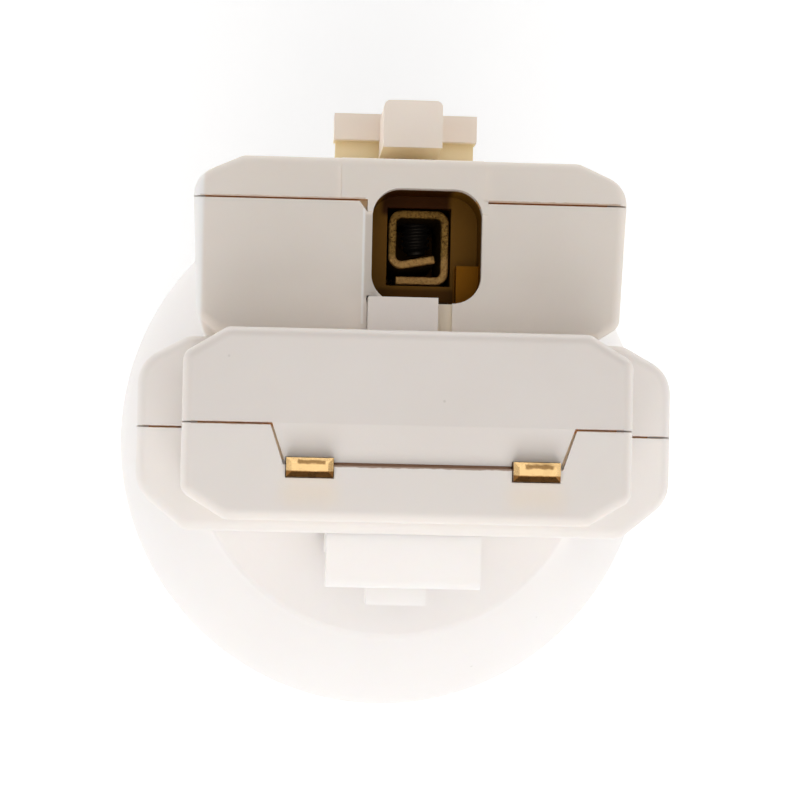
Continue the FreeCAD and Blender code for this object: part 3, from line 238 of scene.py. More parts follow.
def make_inside_box():
    """Mask of a box with soft sides: the product over X, Y and Z of two ramps, one rising
    through the low side and one falling through the high side. The place is first shifted by
    noise times the wobble, which makes the sides uneven."""
    group, given, made = new_group(
        "inside_box",
        [("Vector", "Vector", None), ("Low", "Vector", (0.0, 0.0, 0.0)),
         ("High", "Vector", (0.0, 0.0, 0.0)), ("Softness", "Float", 0.0002),
         ("Wobble", "Float", 0.0)],
        [("Mask", "Float")])
    uneven = put(group, "ShaderNodeTexNoise", Scale=1900.0, Detail=2.0)
    centred = put(group, "ShaderNodeVectorMath", operation="SUBTRACT")
    centred.inputs[1].default_value = (0.5, 0.5, 0.5)
    scaled = put(group, "ShaderNodeVectorMath", operation="SCALE")
    shifted = put(group, "ShaderNodeVectorMath", operation="ADD")
    join(group, given.outputs["Vector"], uneven.inputs["Vector"])
    join(group, uneven.outputs["Color"], centred.inputs[0])
    join(group, centred.outputs[0], scaled.inputs[0])
    join(group, given.outputs["Wobble"], scaled.inputs["Scale"])
    join(group, given.outputs["Vector"], shifted.inputs[0])
    join(group, scaled.outputs[0], shifted.inputs[1])
    place, start, stop = [put(group, "ShaderNodeSeparateXYZ") for _ in range(3)]
    join(group, shifted.outputs[0], place.inputs[0])
    for node, label in ((start, "Low"), (stop, "High")):
        join(group, given.outputs[label], node.inputs[0])
    product = None
    for axis in "XYZ":
        for first, second in ((place, start), (stop, place)):
            gap = combine(group, "SUBTRACT", first.outputs[axis], second.outputs[axis])
            share = combine(group, "DIVIDE", gap, given.outputs["Softness"])
            side = ramp(group, share, -0.5, 0.5, smooth=True)
            product = side if product is None else combine(group, "MULTIPLY", product, side)
    join(group, product, made.inputs["Mask"])
    return group


MOULDED_SKIN = make_moulded_skin()
WORKED_METAL = make_worked_metal()
INSIDE_BOX = make_inside_box()


# ---------------------------------------------------------------- materials

def new_material(name, **constants):
    """A material with its Principled shader; constants are values set on the shader itself."""
    material = bpy.data.materials.new(name)
    material.use_nodes = True
    tree = material.node_tree
    tree.nodes.clear()
    shader = put(tree, "ShaderNodeBsdfPrincipled")
    for label, value in constants.items():
        shader.inputs[label.replace("_", " ")].default_value = value
    output = put(tree, "ShaderNodeOutputMaterial")
    join(tree, shader.outputs[0], output.inputs["Surface"])
    coordinates = put(tree, "ShaderNodeTexCoord").outputs["Object"]
    return material, tree, shader, coordinates


def place_group(tree, group, coordinates, **values):
    """A shader group in a material, with its own values."""
    node = put(tree, "ShaderNodeGroup", node_tree=group)
    join(tree, coordinates, node.inputs["Vector"])
    for label, value in values.items():
        node.inputs[label.replace("_", " ")].default_value = value
    return node


def relief(tree, shader, height, depth):
    """Raises the surface by a height of the given depth."""
    bump = put(tree, "ShaderNodeBump", Strength=1.0, Distance=depth)
    join(tree, height, bump.inputs["Height"])
    join(tree, bump.outputs[0], shader.inputs["Normal"])


def tinted(tree, coordinates, colour, tints):
    """Lays tints over a colour. Each is a box: its low and high corner, softness, wobble, its
    colour and its strength."""
    for start, stop, soft, wobble, tint, strength in tints:
        box = place_group(tree, INSIDE_BOX, coordinates, Low=start, High=stop, Softness=soft,
                          Wobble=wobble)
        amount = combine(tree, "MULTIPLY", box.outputs["Mask"], strength)
        colour = mix_colour(tree, amount, colour, rgb(*tint))
    return colour


def moulded(name, base, shade, gloss=0.4, tints=(), shine=0.45):
    """Moulded plastic, a little translucent."""
    material, tree, shader, coordinates = new_material(
        name, Subsurface_Weight=0.12, Subsurface_Radius=(1.0, 0.65, 0.4), Subsurface_Scale=0.9 * MM,
        IOR=1.5, Specular_IOR_Level=shine)
    skin = place_group(tree, MOULDED_SKIN, coordinates, Base=rgb(*base), Shade=rgb(*shade),
                       Gloss=gloss)
    join(tree, tinted(tree, coordinates, skin.outputs["Color"], tints), shader.inputs["Base Color"])
    join(tree, skin.outputs["Roughness"], shader.inputs["Roughness"])
    relief(tree, shader, skin.outputs["Height"], 0.006 * MM)
    return material


def metal(name, base, stain, stretch, gloss, amount, grain=4000.0, depth=0.01, spots=700.0,
          tints=()):
    """Worked metal. The stretch draws its grain out along the axes with small values."""
    material, tree, shader, coordinates = new_material(name, Metallic=1.0)
    skin = place_group(tree, WORKED_METAL, coordinates, Base=rgb(*base), Stain=rgb(*stain),
                       Stretch=stretch, Gloss=gloss, Stain_Amount=amount, Grain_Scale=grain,
                       Stain_Scale=spots)
    join(tree, tinted(tree, coordinates, skin.outputs["Color"], tints), shader.inputs["Base Color"])
    join(tree, skin.outputs["Roughness"], shader.inputs["Roughness"])
    relief(tree, shader, skin.outputs["Height"], depth * MM)
    return material


SHELL = (0.84, 0.775, 0.725)
SHELL_SHADE = (0.815, 0.745, 0.69)
LOW_SHELL = (0.885, 0.82, 0.765)
LOW_SHELL_SHADE = (0.865, 0.795, 0.74)
EARTH_WHITE = (0.885, 0.812, 0.74)
EARTH_SHADE = (0.855, 0.777, 0.7)
SKIRT_WHITE = (0.922, 0.883, 0.859)
SKIRT_SHADE = (0.907, 0.863, 0.834)
LOW_LATCH_WHITE = (0.935, 0.905, 0.883)
LOW_LATCH_SHADE = (0.92, 0.885, 0.858)
LATCH_WHITE = (0.98, 0.87, 0.77)
LATCH_SHADE = (0.96, 0.84, 0.735)
JOINT_BROWN = (0.42, 0.2, 0.06)
GAP_BROWN = (0.22, 0.09, 0.025)
# painted glow of light through the plastic, and painted shade at the tongue's step
GAP_SIDE_GLOW = (0.95, 0.55, 0.22)
STEP_SIDE_SHADE = (0.45, 0.22, 0.1)
# painted shade inside the earth opening: walls, deepest part, floor, ledge and left wall
CAVITY_SHADE = (0.18, 0.08, 0.008)
CAVITY_DEEP_SHADE = (0.047, 0.012, 0.0)
CAVITY_FLOOR_SHADE = (0.08, 0.028, 0.0)
LEDGE_SHADE = (0.26, 0.095, 0.0)
WALL_SHADE = (0.5, 0.44, 0.38)
# painted highlight for rims, also laid as painted light over the collar
RIM_HIGHLIGHT = (0.97, 0.95, 0.93)
# painted shade and glow under the top latch's lip and under its nose
ARM_SHADE_AND_GLOW = (0.9, 0.76, 0.47)
NOSE_SHADE_AND_GLOW = (0.99, 0.82, 0.5)
# painted shade in the cover's notch and in the key's slot
NOTCH_SHADE = (0.85, 0.72, 0.5)
# painted warm light: reflected below the blades and glowing through the tongue's gap
PAINTED_WARM_LIGHT = (0.97, 0.78, 0.55)
# painted shade above the blades
BLADE_SHADE = (0.62, 0.5, 0.38)
# painted dark reflection on the blade ends, above their middle
BLADE_DARK_REFLECTION = (0.14, 0.07, 0.02)
# tones of the box contact: darker along its top, lighter over its tongue and floor
CONTACT_TOP_TONE = (0.22, 0.11, 0.02)
CONTACT_LOW_TONE = (0.85, 0.52, 0.2)
# painted shade inside the box contact
CONTACT_INNER_SHADE = (0.03, 0.016, 0.005)
# painted dark reflection along the blade's foot
BLADE_FOOT_REFLECTION = (0.17, 0.07, 0.015)
INSERT_WHITE = (0.84, 0.81, 0.77)
INSERT_SHADE = (0.8, 0.77, 0.72)
BRASS = (0.55, 0.37, 0.172)
BRASS_STAIN = (0.34, 0.2, 0.07)
OLD_BRASS = (0.46, 0.27, 0.075)
OLD_BRASS_STAIN = (0.1, 0.05, 0.012)
BRONZE = (0.6, 0.4, 0.2)
BRONZE_STAIN = (0.3, 0.17, 0.08)
# painted shade: this steel is nearly black, as the screw lies in shade inside the box contact
STEEL = (0.05, 0.042, 0.034)
STEEL_STAIN = (0.02, 0.015, 0.012)
FAR = 30 * MM


def slab(x_low, x_high, y_low, y_high, z_low, z_high):
    """A box as its low and its high corner."""
    return (x_low, y_low, z_low), (x_high, y_high, z_high)


def tint(box, colour, strength, soft, wobble=0.0):
    """One tint as tinted() reads it: corners, softness, wobble, colour and strength."""
    return (*box, soft, wobble, colour, strength)


def joint_line(x_low, x_high, y, half, front, colour, strength):
    """An uneven line of colour on the faces beside a joint."""
    line = slab(x_low, x_high, y - half, y + half, front - 0.06 * MM, front + 1 * MM)
    return tint(line, colour, strength, 0.08 * MM, 0.12 * MM)


def gap_sides(half, y_low, y_high, front, depth=0.08 * MM, colour=GAP_SIDE_GLOW):
    """The sides of a joint below a depth, painted by default with a glow of light coming through
    the plastic; with a darker colour given, painted with shade instead.
    """
    sides = slab(-half, half, y_low, y_high, front - 1.2 * MM, front - depth)
    return tint(sides, colour, 1.0, 0.05 * MM)


def plug_tints():
    """The joint line of the two shells on the plug's front and on the collar's; the gap round the
    tongue, its sides painted with a glow of light through the plastic and with painted shade at
    the tongue's foot; painted light over the collar; and round the blades, painted shade above
    each blade and painted reflected light below it."""
    blade_lefts = (high("line_blade").x - BLADE_WIDTH, low("neutral_blade").x)
    behind, before = PLUG_FRONT - 1 * MM, PLUG_FRONT + 1 * MM
    collar = slab(-FAR, FAR, -FAR, FAR, -FAR, COLLAR_FRONT + 1 * MM)
    # painted light: the collar and all behind it are lightened
    tints = [tint(collar, RIM_HIGHLIGHT, 0.3, 1.0 * MM)]
    for left in blade_lefts:
        right = left + BLADE_WIDTH
        above = slab(left, right, -1.9 * MM, -0.6 * MM, behind, before)
        below = slab(left - 0.3 * MM, right + 0.3 * MM, -5.2 * MM, -3.6 * MM, behind, before)
        # painted shade above each blade, and painted reflected light below it
        tints.append(tint(above, BLADE_SHADE, 0.08, 1.2 * MM))
        tints.append(tint(below, PAINTED_WARM_LIGHT, 0.3, 1.6 * MM))
    level, slant, foot = (-0.2 * MM, 0.2 * MM), (-2.3 * MM, -0.2 * MM), (-2.8 * MM, -2.3 * MM)
    tongue_depth = 0.6 * MM
    return tints + [
        # painted glow of light through the plastic on the gaps' sides, painted shade at the tongue's foot
        gap_sides(13.6 * MM, *level, PLUG_FRONT),
        gap_sides(7.0 * MM, *foot, PLUG_FRONT, tongue_depth, STEP_SIDE_SHADE),
        gap_sides(11.0 * MM, *slant, PLUG_FRONT, tongue_depth, PAINTED_WARM_LIGHT),
        gap_sides(17.2 * MM, *level, COLLAR_FRONT),
        joint_line(-14.0 * MM, TONGUE_LEFT, 0.0, 0.1 * MM, PLUG_FRONT, JOINT_BROWN, 0.5),
        joint_line(TONGUE_RIGHT, 14.0 * MM, 0.0, 0.1 * MM, PLUG_FRONT, JOINT_BROWN, 0.42),
        joint_line(blade_lefts[0] + BLADE_WIDTH, blade_lefts[1], TONGUE_FOOT, 0.16 * MM,
                   PLUG_FRONT, GAP_BROWN, 0.8),
        joint_line(-FAR, FAR, 0.0, 0.08 * MM, COLLAR_FRONT, JOINT_BROWN, 0.6)]


def opening_tints():
    """Painted shade in the opening for the earth pin: deep brown inside, darker along its floor,
    darkest under its top, lighter and warmer over its ledge; painted shade on its rounded left
    side, with a painted highlight along its front edge; a glow of light through the plastic
    painted in the cover's joint, with its dark joint line and painted shade in its notch; painted
    shade on the floor of the key's slot; and a painted highlight on the left rim."""
    deep = EARTH_FRONT - 0.9 * MM
    bottom = low("earth_contact").z - 2 * MM
    wide = 0.4 * MM
    near, before = EARTH_FRONT - 0.6 * MM, EARTH_FRONT + 1 * MM
    left, right, down, up = OPENING_LEFT, OPENING_RIGHT, OPENING_LOW, OPENING_HIGH
    rim = slab(-FAR, low("earth_body").x + 0.7 * MM, -FAR, FAR, 0.0, before)
    inside = slab(left - wide, right + wide, down - wide, up + wide, bottom, deep)
    floor = slab(left - wide, right - 1.4 * MM, down - 0.3 * MM, down + 1.3 * MM, bottom, deep)
    top = slab(left + 0.8 * MM, right - 1.9 * MM, up - 1.3 * MM, up + wide, bottom,
               deep - 0.2 * MM)
    ledge = slab(right - 1.6 * MM, right + wide, down - wide, down + 2.85 * MM, OPENING_FLOOR,
                 deep - 1 * MM)
    side = slab(left - 0.5 * MM, left + wide, down + 0.2 * MM, EARTH_JOINT - 1.0 * MM, near, before)
    edge = slab(left - 0.65 * MM, left - 0.5 * MM, down - 1.5 * MM, EARTH_JOINT - 0.6 * MM, near,
                before)
    notch = slab(left - 0.9 * MM, left - 0.3 * MM, EARTH_JOINT - 0.85 * MM, EARTH_JOINT,
                 EARTH_FRONT - 2 * MM, EARTH_FRONT - 0.3 * MM)
    slot = slab(KEY_RIGHT - wide, SLOT_RIGHT + wide, 0.0, down, EARTH_FRONT - 2 * MM,
                EARTH_FRONT - 0.3 * MM)
    return [
        # painted glow of light through the plastic on the sides of the cover's joint
        gap_sides(13.6 * MM, EARTH_JOINT - 0.4 * MM, EARTH_JOINT + 0.1 * MM, EARTH_FRONT),
        # painted highlight on the body's left rim
        tint(rim, RIM_HIGHLIGHT, 0.9, 0.3 * MM),
        # painted shade inside the opening: deep brown, darker along the floor, darkest under the top
        tint(inside, CAVITY_SHADE, 1.0, 0.7 * MM),
        tint(floor, CAVITY_FLOOR_SHADE, 0.9, 0.4 * MM),
        tint(top, CAVITY_DEEP_SHADE, 1.0, 0.5 * MM),
        tint(ledge, LEDGE_SHADE, 1.0, 0.15 * MM),
        # painted shade on the opening's left wall
        tint(side, WALL_SHADE, 0.5, 0.3 * MM, 0.05 * MM),
        # painted highlight along the front edge of the opening's left wall
        tint(edge, RIM_HIGHLIGHT, 0.8, 0.1 * MM, 0.03 * MM),
        # painted shade in the notch of the cover's joint and on the floor of the key's slot
        tint(notch, NOTCH_SHADE, 0.8, 0.1 * MM, 0.1 * MM),
        tint(slot, NOTCH_SHADE, 0.45, 0.1 * MM, 0.1 * MM),
        joint_line(-14.0 * MM, left - 0.5 * MM, EARTH_JOINT, 0.08 * MM, EARTH_FRONT,
                   JOINT_BROWN, 0.42),
        joint_line(right + 0.4 * MM, 14.6 * MM, EARTH_JOINT, 0.1 * MM, EARTH_FRONT,
                   JOINT_BROWN, 0.58)]


def latch_tints():
    """Painted shade and glow on the front of the top latch's arm, under its thumb lip, and on the
    underside of its nose: amber where they lie in shade and light comes through the plastic."""
    corner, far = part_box("top_latch")
    hinge = pivot("top_latch_press").z
    arm_front = hinge + 5.4 * MM
    under = far.y - NOSE_DEEP
    arm = slab(corner.x - 1 * MM, far.x + 1 * MM, corner.y, corner.y + 2.6 * MM, hinge + 1 * MM,
               arm_front)
    nose = slab(-FAR, FAR, under - 0.3 * MM, under + 0.1 * MM, arm_front, far.z - 0.3 * MM)
    return [tint(arm, ARM_SHADE_AND_GLOW, 1.0, 0.3 * MM), tint(nose, NOSE_SHADE_AND_GLOW, 1.0, 0.1 * MM)]


def contact_tints():
    """The box contact is darker along its top and lighter over its tongue and its floor, and has
    painted shade behind its front edge, inside the box."""
    corner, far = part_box("earth_contact")
    top = slab(-FAR, FAR, far.y - 0.8 * MM, FAR, 0.0, 1.0)
    lower = slab(-FAR, FAR, corner.y - 1 * MM, corner.y + 1.9 * MM, 0.0, 1.0)
    deep = slab(-FAR, FAR, -FAR, FAR, 0.0, far.z - 0.5 * MM)
    # darker along the top, lighter below, and painted shade inside the box
    return [tint(top, CONTACT_TOP_TONE, 0.4, 0.6 * MM), tint(lower, CONTACT_LOW_TONE, 0.6, 0.6 * MM),
            tint(deep, CONTACT_INNER_SHADE, 0.85, 0.25 * MM)]


def blade_tints():
    """Each blade's end: a painted dark reflection as a patch above its middle, and another
    painted dark reflection as a band along its foot.
    """
    tip = high("line_blade").z
    bottom = low("line_blade").y
    tints = []
    for left in (high("line_blade").x - BLADE_WIDTH, low("neutral_blade").x):
        patch = slab(left + 0.75 * MM, left + 2.55 * MM, bottom + 0.84 * MM, bottom + 1.24 * MM,
                     tip - 0.2 * MM, tip + 1 * MM)
        band = slab(left - 1 * MM, left + 4 * MM, bottom - 1 * MM, bottom + 0.4 * MM,
                    tip - 0.6 * MM, tip + 1 * MM)
        # painted dark reflections: a patch above the middle and a band along the foot
        tints.append(tint(patch, BLADE_DARK_REFLECTION, 0.85, 0.14 * MM, 0.25 * MM))
        tints.append(tint(band, BLADE_FOOT_REFLECTION, 0.95, 0.1 * MM, 0.12 * MM))
    return tints


MATERIALS = {
    "shell_plastic": moulded("shell_plastic", SHELL, SHELL_SHADE, 0.42, plug_tints()),
    "low_shell_plastic": moulded("low_shell_plastic", LOW_SHELL, LOW_SHELL_SHADE, 0.42,
                                 plug_tints()),
    "earth_plastic": moulded("earth_plastic", EARTH_WHITE, EARTH_SHADE, 0.5, opening_tints(),
                             shine=0.05),
    "latch_plastic": moulded("latch_plastic", LATCH_WHITE, LATCH_SHADE, tints=latch_tints()),
    "low_latch_plastic": moulded("low_latch_plastic", LOW_LATCH_WHITE, LOW_LATCH_SHADE),
    "skirt_plastic": moulded("skirt_plastic", SKIRT_WHITE, SKIRT_SHADE, 0.36),
    "insert_plastic": moulded("insert_plastic", INSERT_WHITE, INSERT_SHADE, 0.45),
    "blade_brass": metal("blade_brass", BRASS, BRASS_STAIN, (1.0, 1.0, 0.08), gloss=0.24,
                         amount=0.3, tints=blade_tints()),
    "contact_brass": metal("contact_brass", OLD_BRASS, OLD_BRASS_STAIN, (1.0, 1.0, 0.5),
                           gloss=0.55, amount=0.9, grain=6200.0, depth=0.12, spots=5200.0,
                           tints=contact_tints()),
    "spring_bronze": metal("spring_bronze", BRONZE, BRONZE_STAIN, (0.1, 1.0, 1.0), gloss=0.28,
                           amount=0.35),
    "steel": metal("steel", STEEL, STEEL_STAIN, (1.0, 1.0, 1.0), gloss=0.6, amount=0.5),
}

WORN_BY = {
    "shell_plastic": ["plug_upper_shell"],
    "low_shell_plastic": ["plug_lower_shell"],
    "earth_plastic": ["earth_body", "earth_cover"],
    "latch_plastic": ["top_latch"],
    "low_latch_plastic": ["bottom_latch"],
    "skirt_plastic": ["skirt", "dome"],
    "insert_plastic": ["thread_insert", "contact_base"],
    "blade_brass": ["line_blade", "neutral_blade", "centre_tip"],
    "contact_brass": ["earth_contact", "contact_rivets"],
    "spring_bronze": ["shell_contact", "centre_contact"],
    "steel": ["earth_screw", "top_latch_spring", "bottom_latch_spring"],
}

for finish, pieces in WORN_BY.items():
    for piece in pieces:
        slots = nodes[piece].data.materials
        slots.clear()
        slots.append(MATERIALS[finish])

for name in ("line_blade", "neutral_blade"):
    soft_edge = nodes[name].modifiers.new("soft_edge", "BEVEL")
    soft_edge.width = 0.2 * MM
    soft_edge.segments = 3
    soft_edge.limit_method = "ANGLE"


# ---------------------------------------------------------------- surfaces

def surface(name, points, finish, body=None, wrap_u=False, wrap_v=False):
    """A mesh piece from a grid of points (u, v, 3), optionally closed along either direction.
    Points that meet, as at a pole, are joined; edges sharper than SHARP keep their edge."""
    count_u, count_v = points.shape[:2]
    numbers = np.arange(count_u * count_v).reshape(count_u, count_v)
    if wrap_u:
        numbers = np.vstack([numbers, numbers[:1]])
    if wrap_v:
        numbers = np.hstack([numbers, numbers[:, :1]])
    corners = [numbers[:-1, :-1], numbers[1:, :-1], numbers[1:, 1:], numbers[:-1, 1:]]
    faces = np.stack(corners, axis=-1)
    mesh = bpy.data.meshes.new(name)
    mesh.from_pydata(points.reshape(-1, 3).tolist(), [], faces.reshape(-1, 4).tolist())
    work = bmesh.new()
    work.from_mesh(mesh)
    bmesh.ops.remove_doubles(work, verts=work.verts, dist=WELD)
    bmesh.ops.recalc_face_normals(work, faces=work.faces)
    work.to_mesh(mesh)
    work.free()
    mesh.polygons.foreach_set("use_smooth", np.ones(len(mesh.polygons), bool))
    mesh.set_sharp_from_angle(angle=SHARP)
    mesh.materials.append(MATERIALS[finish])
    piece = bpy.data.objects.new(name, mesh)
    bpy.context.scene.collection.objects.link(piece)
    if body:
        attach(piece, body)
    return piece


def bent_path(corners, radius, count):
    """Points at even steps along a flat polyline whose corners are arcs. An arc that turns by
    angle a between unit vectors p and q from its centre is (sin((1-t)a) p + sin(ta) q) / sin a;
    it reaches no further than LEG_SHARE of the shorter leg."""
    corners = [np.array(corner, float) for corner in corners]
    path = [corners[0]]
    for before, corner, after in zip(corners, corners[1:], corners[2:]):
        inward, outward = before - corner, after - corner
        shorter = min(np.linalg.norm(inward), np.linalg.norm(outward))
        inward, outward = inward / np.linalg.norm(inward), outward / np.linalg.norm(outward)
        turn = math.pi - math.acos(np.clip(inward @ outward, -1, 1))
        reach = min(radius * math.tan(turn / 2), shorter * LEG_SHARE)
        towards = (inward + outward) / np.linalg.norm(inward + outward)
        centre = corner + towards * reach / math.sin(turn / 2)
        first, last = corner + inward * reach - centre, corner + outward * reach - centre
        for t in np.linspace(0, 1, 9):
            spoke = math.sin((1 - t) * turn) * first + math.sin(t * turn) * last
            path.append(centre + spoke / math.sin(turn))
    path.append(corners[-1])
    path = np.array(path)
    walked = np.concatenate([[0], np.cumsum(np.linalg.norm(np.diff(path, axis=0), axis=1))])
    even = np.linspace(0, walked[-1], count)
    return np.stack([np.interp(even, walked, path[:, axis]) for axis in (0, 1)], axis=1)


def rounded_section(thick, start, stop, corner):
    """A rectangle in thickness and width with rounded corners, as a loop of points."""
    loop = []
    for side, end, first in ((1, stop, 0), (-1, stop, 90), (-1, start, 180), (1, start, 270)):
        across = side * (thick / 2 - corner)
        along = end - corner if end == stop else end + corner
        for angle in np.radians(np.linspace(first, first + 90, 5)):
            loop.append((across + corner * math.cos(angle), along + corner * math.sin(angle)))
    return np.array(loop)


def leaf(name, corners, axes, bend, thick, start, stop, finish, count=60, uneven=0.0):
    """Sheet of one thickness along a bent path, as a closed piece. The path lies in the first
    two of the axes and the width runs along the third, from start to stop. At place i its edges
    wander by uneven * (sin 0.9i + 0.7 sin(2.3i + 1) + 0.5 sin(4.1i + 2)) / 2.2."""
    path = bent_path(corners, bend, count)
    along = np.gradient(path, axis=0)
    along /= np.linalg.norm(along, axis=1)[:, None]
    across = np.stack([-along[:, 1], along[:, 0]], axis=1)
    section = rounded_section(thick, start, stop, thick * 0.22)
    place = np.arange(count)
    wander = np.sin(place * 0.9) + 0.7 * np.sin(place * 2.3 + 1) + 0.5 * np.sin(place * 4.1 + 2)
    wander *= uneven / 2.2
    swell = 1 + wander / thick
    flat = path[:, None, :] + across[:, None, :] * (section[None, :, :1] * swell[:, None, None])
    side = np.sign(section[None, :, 1] - (start + stop) / 2)
    width = section[None, :, 1] + wander[:, None] * side
    points = np.zeros((count, len(section), 3))
    points[..., axes[0]] = flat[..., 0]
    points[..., axes[1]] = flat[..., 1]
    points[..., axes[2]] = width
    first, last = [np.repeat(points[end].mean(axis=0)[None, None], len(section), axis=1)
                   for end in (0, -1)]
    return surface(name, np.concatenate([first, points, last]), finish, wrap_v=True)


def turned(name, centre, axis, radius, along, finish, body):
    """A piece turned about an axis: radius (angles, places) at each place along it, closed by
    a point at both ends."""
    angles = np.linspace(0, 2 * math.pi, radius.shape[0], endpoint=False)[:, None]
    radius = np.pad(radius, ((0, 0), (1, 1)))
    along = np.concatenate([along[:1], along, along[-1:]])
    points = np.zeros(radius.shape + (3,))
    points[..., (axis + 1) % 3] = radius * np.cos(angles)
    points[..., (axis + 2) % 3] = radius * np.sin(angles)
    points[..., axis] = np.broadcast_to(along, radius.shape)
    return surface(name, points + np.array(centre), finish, body, wrap_u=True)


def lamp_thread():
    """Rounded lamp thread. Around the axis by angle a and along it by z, the crest stands at
    r = middle - reach * cos(2 pi (z / pitch - a / 2 pi)), faded to the wall at both ends; the
    grid then goes back along the wall, so that the ring is closed."""
    pitch, reach = 3.629 * MM, 0.5 * MM
    turn = np.linspace(0, 2 * math.pi, 240, endpoint=False)[:, None]
    z = np.linspace(0.15 * MM, THREAD_LENGTH - 0.1 * MM, 150)[None, :]
    wave = 0.5 + 0.5 * np.cos(2 * math.pi * (z / pitch - turn / (2 * math.pi)))
    fade = np.clip(z / pitch, 0, 1) * np.clip((THREAD_LENGTH - z) / pitch, 0, 1)
    fade = fade * fade * (3 - 2 * fade)
    inner = THREAD_WALL - 0.03 * MM - 2 * reach * wave * fade
    outer = np.full_like(inner, THREAD_WALL + 0.12 * MM)
    radius = np.hstack([inner, outer[:, ::-1]])
    height = np.broadcast_to(np.hstack([z, z[:, ::-1]]), radius.shape)
    points = np.stack([radius * np.cos(turn), radius * np.sin(turn), height], axis=-1)
    piece = surface("lamp_thread", points, "insert_plastic", "holder", True, True)


def earth_screw():
    """Set screw of the earth contact, under the box's top. Its thread is
    r = outside - depth * (0.5 - 0.5 cos(2 pi (y / pitch - a / 2 pi))), drawn in at both ends."""
    corner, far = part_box("earth_screw")
    outside, depth, pitch = (far.x - corner.x) / 2, 0.2 * MM, 0.45 * MM
    under = high("earth_contact").y - 0.62 * MM
    along = np.linspace(corner.y, under, 70)
    angles = np.linspace(0, 2 * math.pi, 40, endpoint=False)[:, None]
    wave = 0.5 - 0.5 * np.cos(2 * math.pi * along / pitch - angles)
    end = np.clip((along - corner.y) / (0.5 * MM), 0, 1)
    radius = (outside - depth * wave) * (0.6 + 0.4 * end)
    middle = ((corner.x + far.x) / 2, 0, (corner.z + far.z) / 2)
    piece = turned("earth_screw_thread", middle, 1, radius, along, "steel", "holder")
    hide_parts("earth_screw")


def earth_box():
    """Box contact folded from one strip, with the uneven edges that shearing leaves."""
    corner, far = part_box("earth_contact")
    sheet = 0.6 * MM
    half = sheet / 2
    left, right = corner.x + half, far.x - half
    bottom, top = corner.y + half, far.y - half
    tongue = bottom + 0.96 * MM
    corners = [(right - 0.72 * MM, tongue + 0.54 * MM), (left, tongue), (left, top), (right, top),
               (right, bottom), (left + half, bottom)]
    uneven = 0.03 * MM
    piece = leaf("earth_box", corners, (0, 1, 2), 0.62 * MM, sheet - 2 * uneven,
                 corner.z + 0.05 * MM, far.z - 0.05 * MM, "contact_brass", 160, uneven)
    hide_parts("earth_contact")
    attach(piece, "holder")


def prism(name, outline, low_z, high_z):
    """A straight piece of one outline, from one height to another. Its rows are the outline's
    first point, the outline at both heights, and that first point again, so both ends are
    closed by fans from it."""
    outline = np.array(outline)
    apex = np.repeat(outline[:1], len(outline), axis=0)
    rows = [(apex, low_z), (outline, low_z), (outline, high_z), (apex, high_z)]
    points = np.stack([np.column_stack([flat, np.full(len(flat), z)]) for flat, z in rows])
    piece = surface(name, points, "earth_plastic", "holder", wrap_v=True)


def opening_corner():
    """Fill of the opening's lower left corner. Its free side is the arc
    centre + round * (cos a, sin a), from the left wall down to the key's top."""
    gap = 0.02 * MM
    centre = np.array([OPENING_LEFT + CORNER_ROUND, OPENING_LOW + CORNER_ROUND])
    foot = KEY_TOP + gap
    last = math.pi + math.asin((centre[1] - foot) / CORNER_ROUND)
    angles = np.linspace(math.pi, last, 12)[:, None]
    arc = centre + CORNER_ROUND * np.hstack([np.cos(angles), np.sin(angles)])
    wall = OPENING_LEFT - 5 * gap
    outline = [(wall, foot), (wall, centre[1]), *arc.tolist()]
    prism("opening_corner", outline, SLOT_FLOOR, EARTH_FRONT - gap)


def slot_floor():
    """Raised floor of the key's slot, right of the key, and the slot's edge left of it."""
    gap = 0.015 * MM
    bottom, top = low("earth_body").y + gap, OPENING_LOW - gap
    for name, left, right, deep in (("slot_floor", KEY_RIGHT + gap, SLOT_RIGHT + gap, 0.5 * MM),
                                    ("slot_edge", SLOT_LEFT - gap, KEY_LEFT - gap, 0.1 * MM)):
        outline = [(left, bottom), (right, bottom), (right, top), (left, top)]
        prism(name, outline, SLOT_FLOOR, EARTH_FRONT - deep)


def latch_leaf(node, seat_low):
    """Leaf spring under a latch's arm. It bends between the moulding and the latch."""
    corner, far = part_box(node)
    sheet = 0.25 * MM
    half = sheet / 2
    inner, outer = (corner.y + half, far.y - half) if seat_low else (far.y - half, corner.y + half)
    foot = corner.z + 0.8 * MM
    corners = [(inner, far.z), (inner, far.z - 1.36 * MM), (outer, foot), (outer, corner.z)]
    piece = leaf(node + "_leaf", corners, (1, 2, 0), 0.6 * MM, sheet, corner.x, far.x,
                 "spring_bronze", 40)
    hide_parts(node)
    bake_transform(piece)


def centre_leaf():
    """Centre contact: its tail stays under the base, and the leaf beyond the bend goes down to
    the lamp's tip."""
    corner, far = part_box("centre_contact")
    sheet = 0.5 * MM
    half = sheet / 2
    flat_z, down = far.z - half, corner.z + half
    bend = pivot("centre_contact_press").x
    corners = [(corner.x, flat_z), (bend, flat_z), (-2.0 * MM, down), (2.0 * MM, down),
               (far.x - 0.08 * MM, down + sheet)]
    piece = leaf("centre_leaf", corners, (0, 2, 1), 1.0 * MM, sheet, corner.y, far.y,
                 "spring_bronze", 80)
    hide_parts("centre_contact")
    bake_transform(piece)


